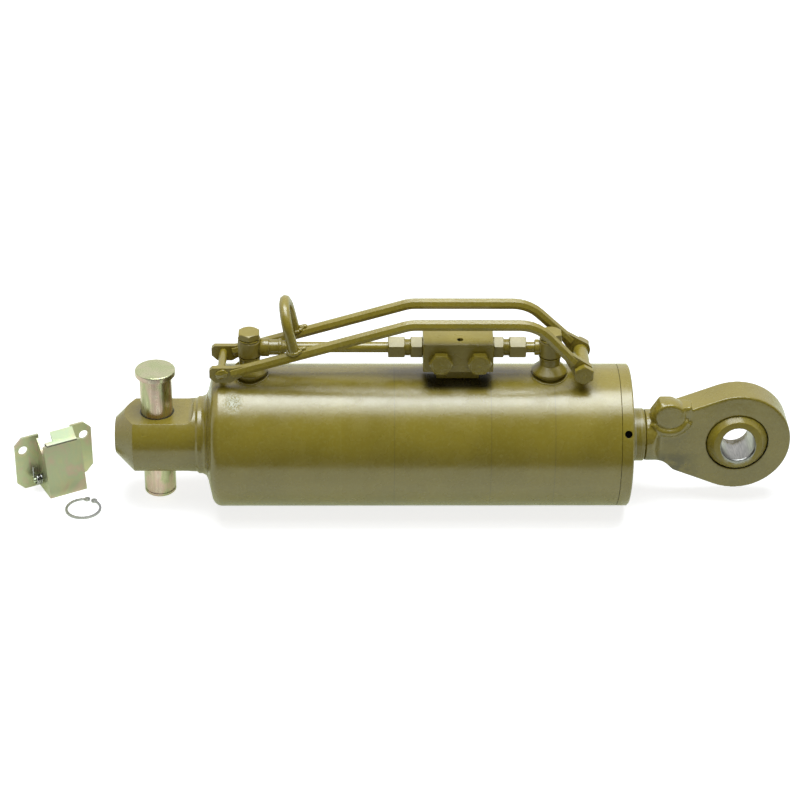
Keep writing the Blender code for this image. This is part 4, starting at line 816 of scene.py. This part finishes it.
def bead_tree():
    """A weld bead: overlapping ripples laid along a path."""
    grow = Growth("weld bead", {"Ripple": "Float", "Spacing": "Float"})
    curve = grow.node("GeometryNodeMeshToCurve", {}, {"Mesh": grow.given["Path"]})
    sockets = {"Curve": curve, "Length": grow.given["Spacing"]}
    points = grow.node("GeometryNodeCurveToPoints", {"mode": "LENGTH"}, sockets)
    sockets = {"Radius": grow.given["Ripple"], "Subdivisions": 2}
    drop = grow.node("GeometryNodeMeshIcoSphere", {}, sockets)
    sockets = {"Min": (0.85, 0.85, 0.85), "Max": (1.15, 1.15, 1.15), "Seed": 7}
    uneven = grow.node("FunctionNodeRandomValue", {"data_type": "FLOAT_VECTOR"}, sockets)
    sockets = {"Points": points, "Instance": drop, "Scale": uneven}
    return grow.finish(grow.node("GeometryNodeInstanceOnPoints", {}, sockets))


THREAD = thread_tree()
BEAD = bead_tree()


def grown(name, tree, sizes, finish, body, path=(), closed=True, matrix=None):
    """Bakes what a tree grows along a path into a plain piece."""
    mesh = bpy.data.meshes.new(name)
    count = len(path)
    links = [(i, i + 1) for i in range(count - 1)]
    if closed and count:
        links.append((count - 1, 0))
    mesh.from_pydata(list(path), links, [])
    obj = linked(name, mesh)
    step = obj.modifiers.new("Grow", "NODES")
    step.node_group = tree
    inputs = [item for item in tree.interface.items_tree if item.in_out == "INPUT"]
    names = {item.name: item.identifier for item in inputs}
    for size, value in sizes.items():
        step[names[size]] = value
    step[names["Finish"]] = finish
    if matrix:
        obj.matrix_world = matrix
    keep_piece(smooth_all(baked(obj)), name, body, finish)


def pipe_thread(name, start_x):
    """Five turns of the thread that shows beside a pipe nut."""
    turn = Matrix.Rotation(math.pi / 2, 4, "Y")
    sizes = {"Radius": 0.0076, "Crest": 0.0004, "Turns": 5, "Pitch": 0.0011}
    place = Matrix.Translation((start_x, 0, PIPE_Z)) @ turn
    grown(name, THREAD, sizes, PAINT, "cylinder", matrix=place)


def weld(name, path, ripple, closed=True):
    sizes = {"Ripple": ripple, "Spacing": ripple * 0.5}
    grown(name, BEAD, sizes, PAINT, "cylinder", path, closed)


def boss_foot(x):
    """A ring of places just under the barrel's skin, where an upright boss stands on it."""
    ring = [math.tau * i / 48 for i in range(48)]
    spots = [(x + BOSS_WELD_RADIUS * math.cos(a), BOSS_WELD_RADIUS * math.sin(a)) for a in ring]
    return [(px, y, math.sqrt(BARREL_RADIUS**2 - y * y) - 0.0003) for px, y in spots]


def turned(name, profile, start, finish, facets=64):
    """A turned piece along X. The profile holds (distance along, radius) pairs."""
    shape = bmesh.new()
    rings = []
    for along, radius in profile:
        angles = [math.tau * i / facets for i in range(facets)]
        spots = [(along, radius * math.cos(a), radius * math.sin(a)) for a in angles]
        rings.append([shape.verts.new(Vector(start) + Vector(spot)) for spot in spots])
    for near, far in zip(rings, rings[1:]):
        for i in range(facets):
            j = (i + 1) % facets
            shape.faces.new((near[i], near[j], far[j], far[i]))
    shape.faces.new(rings[0])
    shape.faces.new(rings[-1])
    bmesh.ops.recalc_face_normals(shape, faces=shape.faces)
    obj = linked(name, mesh_of(shape, name))
    keep_piece(round_shading(obj, 0.5), name, "cylinder", finish)


def threads_and_sleeves():
    """What shows on the pipe stubs: thread crests by the nuts, and the stepped sleeves."""
    pipe_thread("long_pipe_thread", 0.2723)
    pipe_thread("short_pipe_thread", 0.3638)
    sleeve = [(0, 0.0070), (0.0006, 0.0080), (0.0018, 0.0086), (0.0080, 0.0086)]
    sleeve += [(0.0088, 0.0080), (0.0089, 0.0072), (0.0170, 0.0072), (0.0172, 0.0078)]
    sleeve += [(0.0176, 0.0080), (0.0200, 0.0080), (0.0206, 0.0074), (0.0206, 0.0050)]
    turned("pipe_sleeve", sleeve, (CAP_PORT_X + 0.0098, 0, PIPE_Z), PAINT)
    short = [(0, 0.0066), (0.0005, 0.0074), (0.0040, 0.0074), (0.0045, 0.0068), (0.0046, 0.0050)]
    turned("short_sleeve", short, (ROD_PORT_X - 0.0150, 0, PIPE_Z), PAINT)


def nose_fillet():
    """The dressed weld that runs the nose's collar into the barrel's base."""
    fillet = [(-0.0040, 0.0360), (-0.0034, 0.0371), (-0.0020, 0.0376), (-0.0006, 0.0386)]
    fillet += [(0.0004, 0.0400), (0.0011, 0.0418), (0.0016, 0.0420)]
    turned("nose_fillet", fillet, (NOSE_END_X + 0.0003, 0, 0), FINISHES["nose_lug"], 96)


def weld_beads():
    """The beads round the port bosses, and round the hoop's feet on the two bars."""
    weld("cap_boss_weld", boss_foot(CAP_PORT_X), 0.0010)
    weld("rod_boss_weld", boss_foot(ROD_PORT_X), 0.0010)
    rise, reach = BAR_BEND[1] - BAR_FOOT[1], BAR_BEND[0] - BAR_FOOT[0]
    slope = math.atan2(rise, reach)
    bar_z = BAR_FOOT[1] + (HOOP_X - BAR_FOOT[0]) * rise / reach
    half_length, half_width, sag = 0.0066, 0.0040, 0.0016
    run = Vector((math.cos(slope), 0, math.sin(slope)))
    for side, word in ((-1, "front"), (1, "rear")):
        foot = Vector((HOOP_X, side * HOOP_Y, bar_z + BAR_TOP))
        ring = []
        for i in range(24):
            a = math.tau * i / 24
            along, across = half_length * math.cos(a), half_width * math.sin(a)
            up = along * math.sin(slope) - sag * abs(math.sin(a))
            ring.append(foot + Vector((along * math.cos(slope), across, up)))
        weld(f"{word}_hoop_weld", ring, 0.0020)
        tack = [foot + run * step + Vector((0, 0, 0.0002)) for step in (0.0052, 0.0070, 0.0088)]
        weld(f"{word}_hoop_tack", tack, 0.0024, closed=False)


def peened_pin_ends():
    """The handle pin's ends, hammered over and tacked to the flats."""
    turn = Matrix.Rotation(math.radians(-24), 4, "Y")
    for side, word in ((-1, "front"), (1, "rear")):
        shape = bmesh.new()
        bmesh.ops.create_icosphere(shape, subdivisions=4, radius=1)
        for vertex in shape.verts:
            x, y, z = vertex.co
            lump = 1 + 0.09 * math.sin(5 * x + 2.1) * math.cos(4 * z)
            lump += 0.05 * math.sin(9 * z + 3 * x)
            vertex.co = [c * r * lump for c, r in zip((x, y, z), PEENED_END_RADII)]
        place = Matrix.Translation((BAR_FOOT[0], side * PEENED_END_Y, PEENED_END_Z))
        bmesh.ops.transform(shape, matrix=place @ turn, verts=shape.verts)
        name = f"{word}_peened_end"
        keep_piece(smooth_all(linked(name, mesh_of(shape, name))), name, "cylinder", PAINT)


def in_catch(x, y, z):
    """A place given along, into and up the spring catch, in the link's frame."""
    along = Vector((math.cos(CATCH_TURN), math.sin(CATCH_TURN)))
    across = Vector((-math.sin(CATCH_TURN), math.cos(CATCH_TURN)))
    spot = Vector(CATCH_CORNER) + along * x + across * y
    return Vector((spot.x, spot.y, GROUND + z))


def rolled_lip():
    """The sheet rolled over at the top of the catch's flap."""
    outer, inner = (0.0031, 0.0022), (0.0022, 0.0012)
    start, end, steps = -0.25 * math.pi, math.pi, 16
    angles = [start + (end - start) * i / steps for i in range(steps + 1)]
    section = [(outer[0] * math.cos(a), outer[1] * math.sin(a)) for a in angles]
    section += [(inner[0] * math.cos(a), inner[1] * math.sin(a)) for a in reversed(angles)]
    middle_y, middle_z = 0.0124, 0.0515
    shape = bmesh.new()
    ends = []
    for x in (0.0034, 0.0341):
        spots = [in_catch(x, middle_y + y, middle_z + z) for y, z in section]
        ends.append([shape.verts.new(spot) for spot in spots])
    count = len(section)
    for i in range(count):
        j = (i + 1) % count
        shape.faces.new((ends[0][i], ends[0][j], ends[1][j], ends[1][i]))
    for edge in ends:
        for i in range(steps):
            shape.faces.new((edge[i], edge[i + 1], edge[count - 2 - i], edge[count - 1 - i]))
    bmesh.ops.recalc_face_normals(shape, faces=shape.faces)
    obj = linked("rolled_lip", mesh_of(shape, "rolled_lip"))
    keep_piece(round_shading(obj, 0.7), "rolled_lip", "flap", FINISHES["catch_flap"])


threads_and_sleeves()
nose_fillet()
weld_beads()
peened_pin_ends()
rolled_lip()


# ---------------------------------------------------------------- studio and camera


# The white world is seen at full strength, and lights the part at this share of it
WORLD_LIGHT = 0.18
SOFTBOX_TINT = (0.94, 1.0, 1.03)
LIT_POINT = (0.36, 0, 0)
FLOOR_SEEN = (0.80, 0.80, 0.80)
FLOOR_REFLECTED = (0.58, 0.65, 0.44)
FLOOR_HALF = 6.0
FLOOR_Z = GROUND - 0.0002
CARD_Y = -0.24

# The camera's lens in millimetres, its place and its axes, as fitted to the photograph
LENS = 108.43
CAMERA_PLACE = (0.227234, -1.933435, 1.217853)
CAMERA_RIGHT = Vector((0.999838, -0.015400, 0.009372))
CAMERA_UP = Vector((0.000021, 0.520841, 0.853655))
CAMERA_FORWARD = Vector((0.018028, 0.853515, -0.520756))


def white_world():
    """White to the camera and in reflections, and dim as a light."""
    world = bpy.data.worlds.new("pale studio")
    bpy.context.scene.world = world
    world.use_nodes = True
    tree = world.node_tree
    back = tree.nodes["Background"]
    rays = tree.nodes.new("ShaderNodeLightPath").outputs
    seen = rays["Is Camera Ray"]
    for kind in ("Is Glossy Ray", "Is Transmission Ray"):
        either = tree.nodes.new("ShaderNodeMath")
        either.operation = "MAXIMUM"
        tree.links.new(seen, either.inputs[0])
        tree.links.new(rays[kind], either.inputs[1])
        seen = either.outputs[0]
    level = tree.nodes.new("ShaderNodeMapRange")
    level.inputs[3].default_value = WORLD_LIGHT
    level.inputs[4].default_value = 1.0
    tree.links.new(seen, level.inputs[0])
    tree.links.new(level.outputs[0], back.inputs["Strength"])
    back.inputs["Color"].default_value = (1, 1, 1, 1)


def softbox(name, place, size, power):
    """A large soft lamp, aimed at the middle of the link."""
    lamp = bpy.data.lights.new(name, "AREA")
    lamp.shape = "RECTANGLE"
    lamp.size, lamp.size_y = size
    lamp.energy = power
    lamp.color = SOFTBOX_TINT
    holder = linked(name, lamp)
    holder.location = place
    aim = Vector(LIT_POINT) - Vector(place)
    holder.rotation_euler = aim.to_track_quat("-Z", "Y").to_euler()
    holder.visible_camera = False


def studio_sheet(name, corners, finish):
    """A flat sheet that isn't part of the link."""
    mesh = bpy.data.meshes.new(name)
    mesh.from_pydata(corners, [], [(0, 1, 2, 3)])
    mesh.materials.append(finish)
    sheet = linked(name, mesh)
    return sheet


def black_card():
    """A card before the link that only reflections see, and that gives its paint a dark band."""
    card = Finish("black card")
    grain = card.noise(card.place(), 40, 2)
    colour = card.mix(grain, (0.004, 0.004, 0.004), (0.008, 0.008, 0.008))
    card.set(Base_Color=colour, Roughness=1.0)
    places = ((-2, GROUND), (2.6, GROUND), (2.6, 0.5), (-2, 0.5))
    sheet = studio_sheet("black card", [(x, CARD_Y, z) for x, z in places], card.material)
    sheet.visible_camera = False
    sheet.visible_diffuse = False
    sheet.visible_shadow = False
    sheet.visible_transmission = False


def pale_floor():
    """The floor, which takes the link's shadow and glows only where it is seen or reflected."""
    floor = Finish("pale studio floor")
    tone = floor.noise(floor.place(), 3, 2)
    colour = floor.mix(tone * 0.2, (0.55, 0.55, 0.55), (0.52, 0.52, 0.52))
    floor.set(Base_Color=colour, Roughness=0.9)
    camera_ray = floor.node("ShaderNodeLightPath", {}, {}, "Is Camera Ray")
    rays = camera_ray.socket.node.outputs
    reflected = Value(floor, rays["Is Glossy Ray"])
    through = Value(floor, rays["Is Transmission Ray"])
    shown = floor.mix(camera_ray, FLOOR_REFLECTED, FLOOR_SEEN)
    glow = floor.mix(camera_ray + reflected + through, (0, 0, 0), shown)
    floor.set(Emission_Color=glow, Emission_Strength=1.0)
    quarters = ((-1, -1), (1, -1), (1, 1), (-1, 1))
    corners = [(x * FLOOR_HALF, y * FLOOR_HALF, FLOOR_Z) for x, y in quarters]
    studio_sheet("floor", corners, floor.material)


def set_camera():
    lens = bpy.data.cameras.new("camera")
    lens.sensor_width = 36
    lens.lens = LENS
    camera = linked("camera", lens)
    turn = Matrix((CAMERA_RIGHT, CAMERA_UP, -CAMERA_FORWARD)).transposed()
    camera.matrix_world = Matrix.Translation(CAMERA_PLACE) @ turn.to_4x4()
    bpy.context.scene.camera = camera


white_world()
softbox("overhead softbox", (0.36, 0.01, 1.5), (1.35, 0.66), 22.5)
softbox("softbox skirt", (0.36, -0.53, 1.5), (1.35, 0.43), 5)
black_card()
pale_floor()
set_camera()
bpy.context.scene.view_settings.view_transform = "Standard"
